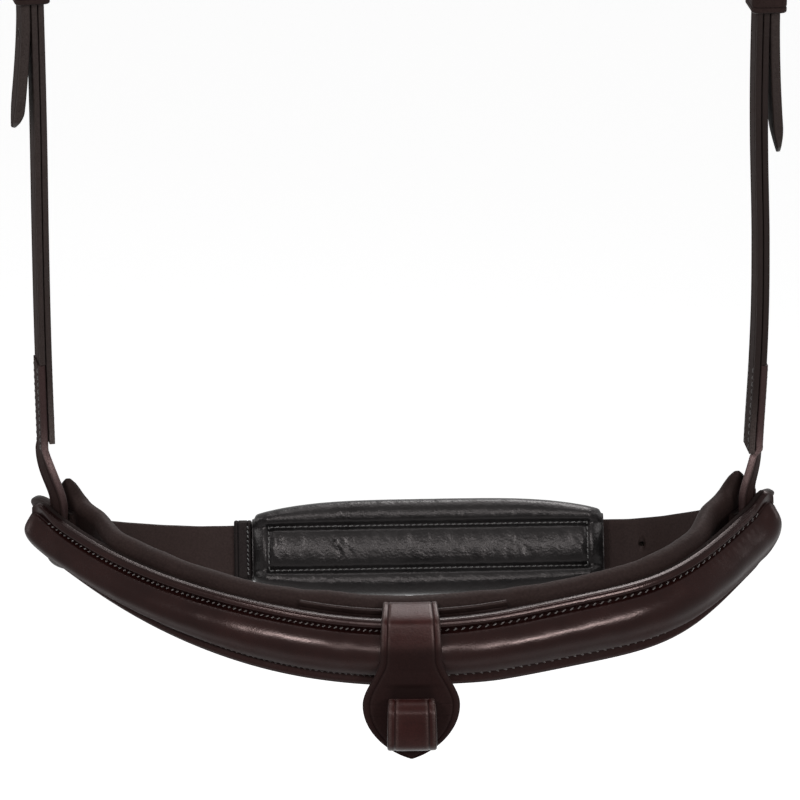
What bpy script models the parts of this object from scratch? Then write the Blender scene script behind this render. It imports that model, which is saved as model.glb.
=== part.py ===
"""Bridle: a padded flash noseband hung by its headpiece. Metres, +Z up, +X to the right seen from the front.

The noseband is laid out round the middle of its two ends, and everything is then shifted so that the
origin is the middle of the headpiece's underside at the crown.
"""
import math

import bmesh
import bpy
import numpy as np

# Clearances
GAP = 0.0003
SLIDE_GAP = 0.0004

# Noseband line: a parabola in a plane that drops to the front
BAND_SIDE_REACH = 0.1318
BAND_DEPTH = 0.062
BAND_DROP = 0.020
BAND_LEFT = {"fullness": 0.008, "end_height": 0.0205, "end_rise": 0.0040}
BAND_RIGHT = {"fullness": 0.118, "end_height": 0.0285, "end_rise": 0.0050}
FULLNESS_START = 0.22
FULLNESS_SKEW = 1.6
RISE_POWER = 5
LINE_STEP = 0.0005
FRONT_LEAN = math.radians(12.8)
LEAN_FRONT_REACH = 0.045
STATION_STEP = 0.0104

# Noseband face, core and backing
FACE_HEIGHT = 0.0255
FACE_THICK = 0.0018
FLANGE = 0.0040
BULGE_RISE = 0.0066
BULGE_FULLNESS = 0.60
END_ROUND = 0.0085
BACKING_THICK = 0.0020
CORE_SHORT = 0.0050

# Straps held between backing and lining
LOOP_THICK = 0.0026
CHIN_THICK = 0.0025
POCKET_LENGTH = 0.018
POCKET_FADE = 0.020
BRIDGE_HALF = 0.038
BRIDGE_THICK = 0.0015
BRIDGE_RISE = 0.0020
BRIDGE_CLEAR = 0.003
BRIDGE_FADE = 0.014

# Noseband lining
LINING_THICK = 0.0084
LINING_OVER = 0.0036
LINING_END_OVER = 0.0006
LINING_UNDER = 0.0016
LINING_SKIN = 0.0012
LINING_END_THICK = 0.0030
FLARE_RISE = 0.0076
FLARE_CENTRE = 0.0050
FLARE_WIDTH = 0.0039
LINING_SHORT = 0.0008
LINING_SEAM = 0.0065
LINING_ROLL = 0.0030
LINING_END_RUN = 0.011
LINING_OVER_FADE = (0.012, 0.045)
LINING_HOLLOW_SHORT = 0.0060
# Shares of the thickness with the drop from the edge in rolls, from the slot to the back
LINING_EDGE = ((0.0, 1.0), (0.143, 0.30), (0.429, 0.0), (0.750, 0.53), (0.917, 1.67))
LINING_BELLY = (0.988, 0.40)

# Flash loop, tab and keeper
FLASH_OFFSET = 0.0026
FLASH_REACH = 0.0270
FLASH_WIDTH = 0.0200
FLASH_THICK = 0.0018
TAB_WIDTH = 0.0325
TAB_WIDEST = 0.0150
TAB_TOP = 0.0025
TAB_TIP = 0.0338
TAB_STEPS = (0.0, 0.12, 0.25, 0.39, 0.53, 0.66, 0.77, 0.86, 0.93, 0.975, 1.0)
TAB_BACK_FROM = 5
TAB_FULLNESS = 0.72
TAB_TIP_SHARE = 0.16
TAB_LEAN = math.radians(8.0)
TAB_BACK_THICK = 0.0015
TAB_BACK_LEAD = ((0.0, 0.0), (0.0004, 0.0020), (0.0026, 0.0036), (0.0066, 0.0046), (0.0106, 0.0060))
FLASH_KEEPER_WIDTH = 0.0165
FLASH_KEEPER_TOP = 0.0128
FLASH_TUNNEL_HEIGHT = 0.0120
FLASH_TUNNEL_DEPTH = 0.0052
FLASH_KEEPER_WALL = 0.0016
FLASH_KEEPER_CORNER = 0.0026

# Chin straps and their buckle
CHIN_TILT = math.radians(26.0)
CHIN_DROP = 0.0026
CHIN_ROLL = math.radians(1.0)
CHIN_WIDTH = 0.0190
CHIN_STRAP_OUT = 0.05005
CHIN_TURN_INSET = 0.0100
CHIN_TURN_OUT = 0.0240
CHIN_POCKET_REACH = 0.0150
CHIN_LEAD_OUT = 0.0030
CHIN_POCKET_HIGH = 0.0015
CHIN_POCKET_LOW = -0.0030
CHIN_BAR_X = 0.0082
CHIN_TURNBACK = 0.042
CHIN_SETTLED = 0.0315
CHIN_TAIL = 0.078
CHIN_TAIL_SETTLE = 0.010
CHIN_HOLE_PITCH = 0.025
CHIN_SPARE_HOLES = 3

# Chin pad
PAD_LEFT = -0.0556
PAD_RIGHT = 0.0743
PAD_SLIDE = 0.006
PAD_HEIGHT = 0.0356
PAD_END_HEIGHT = 0.0265
PAD_THICK = 0.0078
PAD_END_THICK = 0.0052
PAD_SKIN = 0.0012
PAD_SEAM = 0.0080
PAD_SEAM_END = 0.0062
PAD_GROOVE = 0.0012
PAD_GROOVE_WIDTH = 0.0014
PAD_END_ROUND = 0.004
PAD_END_RUN = 0.006
PAD_BACK_EDGE = 0.0030
PAD_SIDE_EDGE = 0.0008
PAD_PANEL_EDGE = 0.0022
PAD_BACK_THICK = 0.0016
PAD_BACK_INSET = 0.0012
PAD_KEEPER_X = (-0.030, 0.048)
PAD_KEEPER_WIDTH = 0.008
PAD_KEEPER_THICK = 0.0015
PAD_KEEPER_FOOT = 0.0034
PAD_KEEPER_BEND = 0.0011
END_KEEPER_WIDTH = 0.0066
END_KEEPER_WALL = 0.0015

# Cheek straps: how far their line runs inside the noseband's ends
CHEEK_WIDTH = 0.0130
CHEEK_LAYER = 0.00205
CHEEK_FOOT = 0.0330
CHEEK_LAP = 0.0330
CHEEK_STEP = 0.018
CHEEK_BACK = -0.0020
CHEEK_LEFT = {"side": -1, "top_inset": 0.0056, "bow": 0.0007, "foot_inset": 0.0051,
              "twist": math.radians(13.0)}
CHEEK_RIGHT = {"side": 1, "top_inset": 0.0092, "bow": 0.0026, "foot_inset": 0.0078,
               "twist": math.radians(5.0)}
BOW_HEIGHT = 0.098
BOW_SPREAD = 0.045
FOOT_FADE = 0.060
LOOP_INSET = 0.0080
LOOP_DEPTH = 0.0080

# Cheek keepers and buckles
KEEPER_HEIGHT = 0.0115
KEEPER_WALL = 0.0017
KEEPER_DROP = 0.0295
RUNNER_LEFT_DROP = 0.0137
RUNNER_RIGHT_DROP = 0.0168
CHEEK_BAR = 0.2380
FIXED_KEEPER = CHEEK_BAR - KEEPER_DROP
RUNNER_LEFT = FIXED_KEEPER - RUNNER_LEFT_DROP
RUNNER_RIGHT = FIXED_KEEPER - RUNNER_RIGHT_DROP
BAR_RADIUS = 0.0015
BAR_PITCH = 0.0155
FRAME_CORNER = 0.0025
FRAME_SIDE_GAP = 0.0008
TONGUE_RADIUS = 0.00095
TONGUE_HOOK = math.radians(250.0)
TONGUE_OVERHANG = 0.0016
SLOT_WIDTH = 0.0032
RETURN_SLOPE = 0.014

# Headpiece
BILLET_THICK = 0.0033
TAIL_LEFT = {"length": 0.0858, "flare": 0.0036}
TAIL_RIGHT = {"length": 0.0952, "flare": 0.0024}
POINT_LENGTH = 0.010
POINT_SHARES = (0.0, 0.25, 0.6, 1.0)
POINT_WIDTHS = (0.30, 0.66, 0.90)
BILLET_RUN = 0.0185
ARCH_FOOT = CHEEK_BAR + BAR_PITCH + BILLET_RUN
ARCH_RISE = 0.112
CROWN_HALF = 0.010
CROWN_FLAT = 0.6
ARCH_STEPS = 12
HEAD_HOLE_PITCH = 0.022
HEAD_SPARE_HOLES = 2
HOLE_RADIUS = 0.0016
EDGE_CHAMFER = 0.0004

MATERIALS = {
    "brown_leather": ((0.030, 0.016, 0.013), 0.42, 0.0),
    "red_brown_leather": ((0.055, 0.022, 0.018), 0.40, 0.0),
    "black_leather": ((0.016, 0.015, 0.016), 0.50, 0.0),
    "lining_leather": ((0.030, 0.021, 0.019), 0.45, 0.0),
    "foam": ((0.090, 0.085, 0.080), 0.90, 0.0),
    "cord_filler": ((0.120, 0.090, 0.060), 0.80, 0.0),
    "steel": ((0.620, 0.610, 0.590), 0.28, 1.0),
}

X = np.array([1.0, 0.0, 0.0])
Z = np.array([0.0, 0.0, 1.0])
CROWN_CENTRE_Z = ARCH_FOOT + ARCH_RISE
ORIGIN_SHIFT = np.array([0.0, -CHEEK_BACK, -(CROWN_CENTRE_Z - BILLET_THICK / 2)])


# Small maths

def unit(v):
    return v / np.linalg.norm(v)


def mix(a, b, t):
    return a + (b - a) * t


def smooth(x, low, high):
    t = min(1.0, max(0.0, (x - low) / (high - low)))
    return t * t * (3.0 - 2.0 * t)


def bump(x, centre, spread):
    return math.exp(-((x - centre) / spread) ** 2)


def end_factor(distance_to_end, radius, least):
    """A rounded end: 1 inside the radius, falling to least at the end itself."""
    inside = 1.0 - min(1.0, max(0.0, distance_to_end / radius))
    return max(least, (1.0 - inside ** 3) ** (1.0 / 3.0))


# Meshes

def clear_scene():
    for obj in list(bpy.data.objects):
        bpy.data.objects.remove(obj, do_unlink=True)


def material(name):
    found = bpy.data.materials.get(name)
    if found:
        return found
    colour, roughness, metallic = MATERIALS[name]
    made = bpy.data.materials.new(name)
    made.use_nodes = True
    shader = made.node_tree.nodes["Principled BSDF"]
    shader.inputs["Base Color"].default_value = (*colour, 1.0)
    shader.inputs["Roughness"].default_value = roughness
    shader.inputs["Metallic"].default_value = metallic
    return made


def make_object(name, points, faces, material_name, origin=(0.0, 0.0, 0.0)):
    """A closed mesh object; points and origin are in the noseband's frame."""
    shifted_origin = np.asarray(origin) + ORIGIN_SHIFT
    local = [tuple(np.asarray(p) + ORIGIN_SHIFT - shifted_origin) for p in points]
    mesh = bpy.data.meshes.new(name)
    mesh.from_pydata(local, [], faces)
    work = bmesh.new()
    work.from_mesh(mesh)
    bmesh.ops.recalc_face_normals(work, faces=work.faces)
    work.to_mesh(mesh)
    work.free()
    mesh.materials.append(material(material_name))
    obj = bpy.data.objects.new(name, mesh)
    obj.location = tuple(shifted_origin)
    bpy.context.scene.collection.objects.link(obj)
    mesh.shade_smooth()
    mesh.set_sharp_from_angle(angle=math.radians(35.0))
    return obj


def loft(rings, closed=False):
    """Quads between equal rings, with a flat face over each end unless the rings close on themselves."""
    count = len(rings[0])
    points = [p for ring in rings for p in ring]
    faces = []
    steps = len(rings) if closed else len(rings) - 1
    for i in range(steps):
        here = i * count
        there = ((i + 1) % len(rings)) * count
        for j in range(count):
            k = (j + 1) % count
            faces.append((here + j, here + k, there + k, there + j))
    if not closed:
        faces.append(tuple(range(count)))
        faces.append(tuple(range((len(rings) - 1) * count, len(rings) * count)))
    return points, faces


def shell_loft(outer, inner, first, last):
    """A skin open along one slot: outer and inner are point rows across each station.

    The skin is hollow from station first to station last and solid at both ends, so that its
    hollow opens only through the slot between a row's two ends.
    """
    width = len(outer[0])
    inner_width = len(inner[0])
    points = [p for row in outer for p in row]
    inner_start = {}
    for i in range(first, last + 1):
        inner_start[i] = len(points)
        points.extend(inner[i])
    faces = []
    for i in range(len(outer) - 1):
        a = i * width
        b = a + width
        faces.extend((a + j, a + j + 1, b + j + 1, b + j) for j in range(width - 1))
        hollow = first <= i < last
        if not hollow:
            faces.append((a + width - 1, a, b, b + width - 1))
            continue
        c = inner_start[i]
        d = inner_start[i + 1]
        faces.extend((c + j, d + j, d + j + 1, c + j + 1) for j in range(inner_width - 1))
        faces.append((a, b, d, c))
        faces.append((a + width - 1, c + inner_width - 1, d + inner_width - 1, b + width - 1))
    faces.append(tuple(range(width)))
    faces.append(tuple(range((len(outer) - 1) * width, len(outer) * width)))
    for i in (first, last):
        row = [i * width, *range(inner_start[i], inner_start[i] + inner_width), i * width + width - 1]
        faces.append(tuple(row))
    return points, faces


def tangents(points, closed=False):
    rows = np.asarray(points)
    if closed:
        return [unit(rows[(i + 1) % len(rows)] - rows[i - 1]) for i in range(len(rows))]
    last = len(rows) - 1
    return [unit(rows[min(i + 1, last)] - rows[max(i - 1, 0)]) for i in range(len(rows))]


def chamfered(w, t):
    """The corners of a strap's section with half width w and half thickness t."""
    c = min(EDGE_CHAMFER, w / 2, t / 2)
    return ((-w + c, -t), (w - c, -t), (w, -t + c), (w, t - c),
            (w - c, t), (-w + c, t), (-w, t - c), (-w, -t + c))


def ribbon(points, normals, widths, thick, closed=False):
    """A flat strap along points: normals give its thickness direction, widths its width at each point."""
    rings = []
    for point, normal, tangent, width in zip(points, normals, tangents(points, closed), widths):
        across_thick = unit(normal - tangent * np.dot(normal, tangent))
        across_width = np.cross(tangent, across_thick)
        corners = chamfered(width / 2, thick / 2)
        rings.append([point + across_width * a + across_thick * b for a, b in corners])
    return loft(rings, closed)


def tube(points, radius, sides=8, closed=False, reference=None):
    """A round rod along points that lie in one plane, whose normal is the reference."""
    rings = []
    for point, tangent in zip(points, tangents(points, closed)):
        first = np.cross(tangent, reference)
        angles = [2 * math.pi * (k + 0.5) / sides for k in range(sides)]
        rings.append([point + radius * (math.cos(a) * first + math.sin(a) * reference) for a in angles])
    return loft(rings, closed)


def left_normals(path):
    """The left-hand normal at each point of a flat path of (a, b) pairs."""
    rows = [np.array([a, b, 0.0]) for a, b in path]
    return [np.array([-t[1], t[0]]) for t in tangents(rows)]


def arc(centre, radius, start, end, steps):
    angles = [mix(start, end, k / steps) for k in range(steps + 1)]
    return [(centre[0] + radius * math.cos(a), centre[1] + radius * math.sin(a)) for a in angles]


def rounded_rectangle(low, high, radius, steps=3):
    """A closed outline of (a, b) pairs, counter-clockwise."""
    corners = ((high[0], low[1], -90), (high[0], high[1], 0), (low[0], high[1], 90), (low[0], low[1], 180))
    outline = []
    for a, b, start in corners:
        centre = (a - math.copysign(radius, a - (low[0] + high[0]) / 2),
                  b - math.copysign(radius, b - (low[1] + high[1]) / 2))
        outline.extend(arc(centre, radius, math.radians(start), math.radians(start + 90), steps))
    return outline


def cut(target, name, points, faces):
    """Subtract a hidden cutter from an object."""
    cutter = make_object(name, points, faces, "foam")
    cutter.hide_render = True
    cutter.display_type = "WIRE"
    modifier = target.modifiers.new(name, "BOOLEAN")
    modifier.operation = "DIFFERENCE"
    modifier.solver = "EXACT"
    modifier.object = cutter


def punch(target, name, centre, along, normal, length, width, depth=0.006):
    """A round or oval hole through a strap."""
    across = np.cross(normal, along)
    reach = max(0.0, (length - width) / 2)
    outline = [(x + reach, y) for x, y in arc((0, 0), width / 2, -math.pi / 2, math.pi / 2, 6)]
    outline += [(x - reach, y) for x, y in arc((0, 0), width / 2, math.pi / 2, 3 * math.pi / 2, 6)]
    if reach == 0.0:
        outline = outline[:6] + outline[7:13]
    rings = [[centre + along * x + across * y + normal * z for x, y in outline] for z in (-depth, depth)]
    cut(target, name, *loft(rings))


# The noseband's line and its own coordinates: s along, n outward, h up the face

IN_PLANE_DEPTH = math.hypot(BAND_DEPTH, BAND_DROP)
FORWARD = np.array([0.0, -BAND_DEPTH, -BAND_DROP]) / IN_PLANE_DEPTH
PLANE_UP = np.cross(X, -FORWARD)


def band_side(s):
    return BAND_RIGHT if s > 0 else BAND_LEFT


def line_point(x):
    """The parabola, a little fuller towards each end, with the ends lifted out of its plane."""
    share = abs(x) / BAND_SIDE_REACH
    side = band_side(x)
    along = min(1.0, max(0.0, (share - FULLNESS_START) / (1 - FULLNESS_START)))
    reach = 1 - share ** 2 + side["fullness"] * math.sin(math.pi * along ** FULLNESS_SKEW) ** 2
    return X * x + FORWARD * IN_PLANE_DEPTH * reach + Z * side["end_rise"] * share ** RISE_POWER


def line_table():
    x = np.linspace(-1.1 * BAND_SIDE_REACH, 1.1 * BAND_SIDE_REACH, 1201)
    rows = np.array([line_point(v) for v in x])
    length = np.concatenate([[0.0], np.cumsum(np.linalg.norm(np.diff(rows, axis=0), axis=1))])
    return x, length - length[len(x) // 2]


LINE_X, LINE_S = line_table()
LEFT_END = -float(np.interp(-BAND_SIDE_REACH, LINE_X, LINE_S))
RIGHT_END = float(np.interp(BAND_SIDE_REACH, LINE_X, LINE_S))


def band_end(s):
    """The band's length from its middle to the end that s lies towards."""
    return RIGHT_END if s > 0 else LEFT_END


def to_end(s):
    return band_end(s) - abs(s)


def band_frame(s):
    """Point on the line, tangent, outward and up directions at arc length s from the middle."""
    x = float(np.interp(s, LINE_S, LINE_X))
    point = line_point(x)
    tangent = unit(line_point(x + LINE_STEP) - line_point(x - LINE_STEP))
    lean = FRONT_LEAN * (1 - smooth(abs(s), LEAN_FRONT_REACH, band_end(s)))
    away = unit(np.cross(tangent, PLANE_UP))
    upright = np.cross(away, tangent)
    outward = away * math.cos(lean) + upright * math.sin(lean)
    upward = upright * math.cos(lean) - away * math.sin(lean)
    return point, tangent, outward, upward


def band_point(s, n, h):
    point, _, outward, upward = band_frame(s)
    return point + outward * n + upward * h


def stations(short=0.0, fine=(0.0004, 0.0014, 0.0032, 0.0060, 0.0100)):
    """Places along the band to short of each end, closer together at both ends."""
    left = -LEFT_END + short
    right = RIGHT_END - short
    count = math.ceil((right - left - 2 * fine[-1]) / STATION_STEP)
    middle = [mix(left + fine[-1], right - fine[-1], k / count) for k in range(count + 1)]
    return [left + f for f in fine[:-1]] + middle + [right - f for f in fine[-2::-1]]


def band_loft(section, places):
    return loft([[band_point(s, n, h) for n, h in section(s)] for s in places])


# Noseband sections

def full_height(s):
    towards_end = smooth(abs(s) / band_end(s), 0.2, 0.9)
    return mix(FACE_HEIGHT, band_side(s)["end_height"], towards_end)


def half_height(s):
    return full_height(s) / 2 * end_factor(to_end(s), END_ROUND, 0.55)


def bulge_rise(s):
    return BULGE_RISE * end_factor(to_end(s), 1.3 * END_ROUND, 0.25)


def bulge(s, shrink, lift, count=9):
    """Points (n, h) over the raised middle, from its top edge to its bottom edge."""
    half = half_height(s) - min(FLANGE, 0.45 * half_height(s)) - shrink
    rise = bulge_rise(s) - lift
    heights = [half * math.cos(math.pi * k / (count - 1)) for k in range(count)]
    fullness = [max(0.0, math.cos(math.pi / 2 * h / half)) ** BULGE_FULLNESS for h in heights]
    return [(rise * f, h) for f, h in zip(fullness, heights)]


def face_outline(s):
    """The face's front, top edge to bottom edge."""
    half = half_height(s)
    c = EDGE_CHAMFER
    crown = [(FACE_THICK + n, h) for n, h in bulge(s, 0.0, 0.0)]
    top = [(FACE_THICK - c, half), (FACE_THICK, half - c)]
    return top + crown + [(n, -h) for n, h in top[::-1]]


def face_section(s):
    half = half_height(s)
    inside = bulge(s, 0.6 * FACE_THICK, 0.0, count=7)[::-1]
    return face_outline(s) + [(0.0, -half), *inside, (0.0, half)]


def core_section(s):
    return bulge(s, 0.6 * FACE_THICK + GAP, GAP, count=7)


def backing_section(s):
    half = half_height(s) - 2 * GAP
    low = -GAP - BACKING_THICK
    c = EDGE_CHAMFER
    return [(-GAP, half - c), (-GAP, c - half), (-GAP - c, -half), (low + c, -half),
            (low, c - half), (low, half - c), (low + c, half), (-GAP - c, half)]


BACKING_BACK = -GAP - BACKING_THICK
LOOP_N = BACKING_BACK - GAP - LOOP_THICK / 2
CHIN_N = LOOP_N - LOOP_THICK / 2 - GAP - CHIN_THICK / 2
BRIDGE_N = BACKING_BACK - GAP - BRIDGE_THICK / 2
BRIDGE_BACK = BRIDGE_N - BRIDGE_THICK / 2
BRIDGE_TOP = FACE_HEIGHT / 2 + BRIDGE_RISE
BRIDGE_LOW = FLANGE - FACE_HEIGHT / 2


def lining_front(s):
    """How far back the lining's front lies: on the backing, bridge strip, flash loop or end straps."""
    resting = BACKING_BACK - GAP
    over_bridge = BRIDGE_BACK - GAP - resting
    over_loop = -FLASH_THICK - GAP
    over_straps = CHIN_N - CHIN_THICK / 2 - GAP - resting
    near_bridge = 1 - smooth(abs(s), BRIDGE_HALF + BRIDGE_CLEAR, BRIDGE_HALF + BRIDGE_CLEAR + BRIDGE_FADE)
    near_loop = 1 - smooth(abs(s), FLASH_REACH, FLASH_REACH + BRIDGE_FADE)
    near_end = 1 - smooth(to_end(s), POCKET_LENGTH, POCKET_LENGTH + POCKET_FADE)
    return resting + over_bridge * near_bridge + over_loop * near_loop + over_straps * near_end


def lining_outline(s):
    """The lining's skin across the band: up its back from the lower slot edge to the upper one."""
    left_over = to_end(s) - LINING_SHORT
    close = end_factor(left_over, END_ROUND, 0.45)
    thick = mix(LINING_END_THICK, LINING_THICK, smooth(left_over, 0.0, LINING_END_RUN))
    flare = FLARE_RISE * bump(to_end(s), FLARE_CENTRE, FLARE_WIDTH)
    over = mix(LINING_END_OVER, LINING_OVER, smooth(to_end(s), *LINING_OVER_FADE))
    top = (full_height(s) / 2 + over + flare) * close
    low = -(full_height(s) / 2 + LINING_UNDER) * close
    seam = LINING_SEAM * close
    front = lining_front(s)
    roll = LINING_ROLL * close
    belly, flat = LINING_BELLY
    lower = [(0.0, -seam)] + [(a, low + b * roll) for a, b in LINING_EDGE] + [(belly, flat * low)]
    upper = [(belly, flat * top)] + [(a, top - b * roll) for a, b in LINING_EDGE[::-1]] + [(0.0, seam)]
    return [(front - a * thick, h) for a, h in lower + [(1.0, 0.0)] + upper]


def inset(row, distance):
    """Move an open row of (n, h) points to its left, keeping its two ends level with the slot."""
    normals = left_normals(row)
    moved = [(n - distance * d[0], h - distance * d[1]) for (n, h), d in zip(row, normals)]
    moved[0] = (row[0][0] - distance, row[0][1])
    moved[-1] = (row[-1][0] - distance, row[-1][1])
    return moved


# Noseband pieces

def make_noseband():
    places = stations()
    make_object("noseband_face", *band_loft(face_section, places), "brown_leather")
    inner_places = [s for s in places if to_end(s) > CORE_SHORT]
    make_object("noseband_core", *band_loft(core_section, inner_places), "cord_filler")
    make_object("noseband_backing", *band_loft(backing_section, places), "brown_leather")
    make_lining()
    make_bridge_strip()


def make_lining():
    places = stations(LINING_SHORT)
    outer = [lining_outline(s) for s in places]
    inner = [inset(row[::2], LINING_SKIN) for row in outer]
    hollow = [i for i, s in enumerate(places) if to_end(s) > LINING_HOLLOW_SHORT]
    first, last = hollow[0], hollow[-1]
    outer_points = [[band_point(s, n, h) for n, h in row] for s, row in zip(places, outer)]
    inner_points = [[band_point(s, n, h) for n, h in row] for s, row in zip(places, inner)]
    shell = shell_loft(outer_points, inner_points, first, last)
    make_object("noseband_lining_cover", *shell, "lining_leather")
    rings = []
    for s, row in list(zip(places, outer))[first + 1:last]:
        rings.append([band_point(s, n, h) for n, h in inset(row[::2], LINING_SKIN + GAP)])
    make_object("noseband_lining_foam", *loft(rings), "foam")


def make_bridge_strip():
    count = math.ceil(2 * BRIDGE_HALF / STATION_STEP)
    places = [mix(-BRIDGE_HALF, BRIDGE_HALF, k / count) for k in range(count + 1)]
    front = BRIDGE_N + BRIDGE_THICK / 2
    section = [(front, BRIDGE_LOW), (BRIDGE_BACK, BRIDGE_LOW),
               (BRIDGE_BACK, BRIDGE_TOP), (front, BRIDGE_TOP)]
    make_object("centre_bridge_strip", *band_loft(lambda s: section, places), "lining_leather")


# Flash loop

def hull_outline():
    """The taut outline at the middle: from the face's front, over the bridge strip, to the back's foot."""
    front = [p for p in face_outline(0.0) if p[1] >= 0.0][::-1]
    bridge = [(BRIDGE_N + BRIDGE_THICK / 2, BRIDGE_TOP), (BRIDGE_BACK, BRIDGE_TOP)]
    points = front + bridge + [(BRIDGE_BACK, EDGE_CHAMFER - half_height(0.0))]
    kept = []
    for p in points:
        while len(kept) >= 2 and turn(kept[-2], kept[-1], p) <= 1e-12:
            kept.pop()
        kept.append(p)
    return kept


def turn(a, b, c):
    return (b[0] - a[0]) * (c[1] - b[1]) - (b[1] - a[1]) * (c[0] - b[0])


def offset_path(path, distance):
    """The path moved outward, with an arc round each corner."""
    moved = []
    for i, point in enumerate(path):
        before = path[max(i - 1, 0)]
        after = path[min(i + 1, len(path) - 1)]
        first = edge_normal(before, point) if i else edge_normal(point, after)
        second = edge_normal(point, after) if i < len(path) - 1 else first
        steps = 2 if turn_angle(first, second) > math.radians(25) else 1
        for k in range(steps + 1 if steps > 1 else 1):
            share = k / steps if steps > 1 else 0.5
            direction = unit(np.array(mix(np.array(first), np.array(second), share)))
            moved.append((point[0] + direction[0] * distance, point[1] + direction[1] * distance))
    return moved


def edge_normal(a, b):
    direction = unit(np.array([b[0] - a[0], b[1] - a[1]]))
    return (direction[1], -direction[0])


def turn_angle(a, b):
    return math.acos(max(-1.0, min(1.0, a[0] * b[0] + a[1] * b[1])))


def tab_width(h):
    """The tab's outline: the loop's width, swelling to the widest and closing to a rounded tip."""
    depth = -h
    if depth <= TAB_WIDEST:
        return mix(FLASH_WIDTH, TAB_WIDTH, smooth(depth, -0.002, TAB_WIDEST))
    share = (depth - TAB_WIDEST) / (TAB_TIP - TAB_WIDEST)
    return TAB_WIDTH * max(TAB_TIP_SHARE, (1 - share ** 2) ** TAB_FULLNESS)


def strip_across(path, widths, thick, centre_s, count=5):
    """A strap whose width runs along the band, so that it follows the band's curve."""
    rings = []
    for (n, h), normal, width in zip(path, left_normals(path), widths):
        places = [centre_s + width * (k / (count - 1) - 0.5) for k in range(count)]
        front = [(s, n + normal[0] * thick / 2, h + normal[1] * thick / 2) for s in places]
        back = [(s, n - normal[0] * thick / 2, h - normal[1] * thick / 2) for s in places[::-1]]
        rings.append([band_point(*p) for p in front + back])
    return loft(rings)


def tab_line(offset):
    """Points down the tab, moved back from its front layer's middle by offset."""
    start_n = FACE_THICK + BULGE_RISE + GAP + FLASH_THICK / 2 - offset
    depths = [mix(TAB_TOP, TAB_TIP, share) for share in TAB_STEPS]
    return [(start_n + (depth - TAB_TOP) * math.tan(TAB_LEAN), -depth) for depth in depths]


def make_flash():
    over = offset_path(hull_outline(), GAP + FLASH_THICK / 2)
    path = tab_line(0.0)[::-1] + over
    widths = [tab_width(h) if n > 0 else FLASH_WIDTH for n, h in path]
    make_object("flash_loop", *strip_across(path, widths, FLASH_THICK, FLASH_OFFSET), "red_brown_leather")
    behind = tab_line(FLASH_THICK / 2 + GAP + TAB_BACK_THICK / 2)[TAB_BACK_FROM:]
    foot = over[-1]
    low = foot[1] - GAP
    lead = [(foot[0] + n, low - drop) for n, drop in TAB_BACK_LEAD]
    backing = lead + behind
    widths = [min(FLASH_WIDTH, tab_width(h)) if i < len(lead) else tab_width(h) - 2 * GAP
              for i, (_, h) in enumerate(backing)]
    backing_mesh = strip_across(backing, widths, TAB_BACK_THICK, FLASH_OFFSET)
    make_object("flash_tab_backing", *backing_mesh, "red_brown_leather")
    make_flash_keeper()


def make_flash_keeper():
    """A closed loop of strap on the front of the tab, open to both sides."""
    down = np.array([math.tan(TAB_LEAN), -1.0])
    down = down / np.linalg.norm(down)
    out = np.array([-down[1], down[0]])
    start = np.array(tab_line(-(FLASH_THICK / 2 + GAP))[0])
    top = start + down * (FLASH_KEEPER_TOP - TAB_TOP) / -down[1]
    wall = FLASH_KEEPER_WALL
    far_corner = (FLASH_TUNNEL_HEIGHT + 1.5 * wall, FLASH_TUNNEL_DEPTH + 1.5 * wall)
    outline = rounded_rectangle((wall / 2, wall / 2), far_corner, FLASH_KEEPER_CORNER)
    path = [top + down * a + out * b for a, b in outline]
    rings = []
    for point, tangent in zip(path, tangents([np.array([p[0], p[1], 0.0]) for p in path], closed=True)):
        side = np.array([tangent[1], -tangent[0]]) * wall / 2
        w = FLASH_KEEPER_WIDTH / 2
        corners = ((-w, side), (w, side), (w, -side), (-w, -side))
        rings.append([band_point(FLASH_OFFSET + s, *(point + shift)) for s, shift in corners])
    make_object("flash_keeper", *loft(rings, closed=True), "red_brown_leather")


# Buckle geometry in a strap's own side view: a along the strap, t outward from its straight layer

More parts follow.
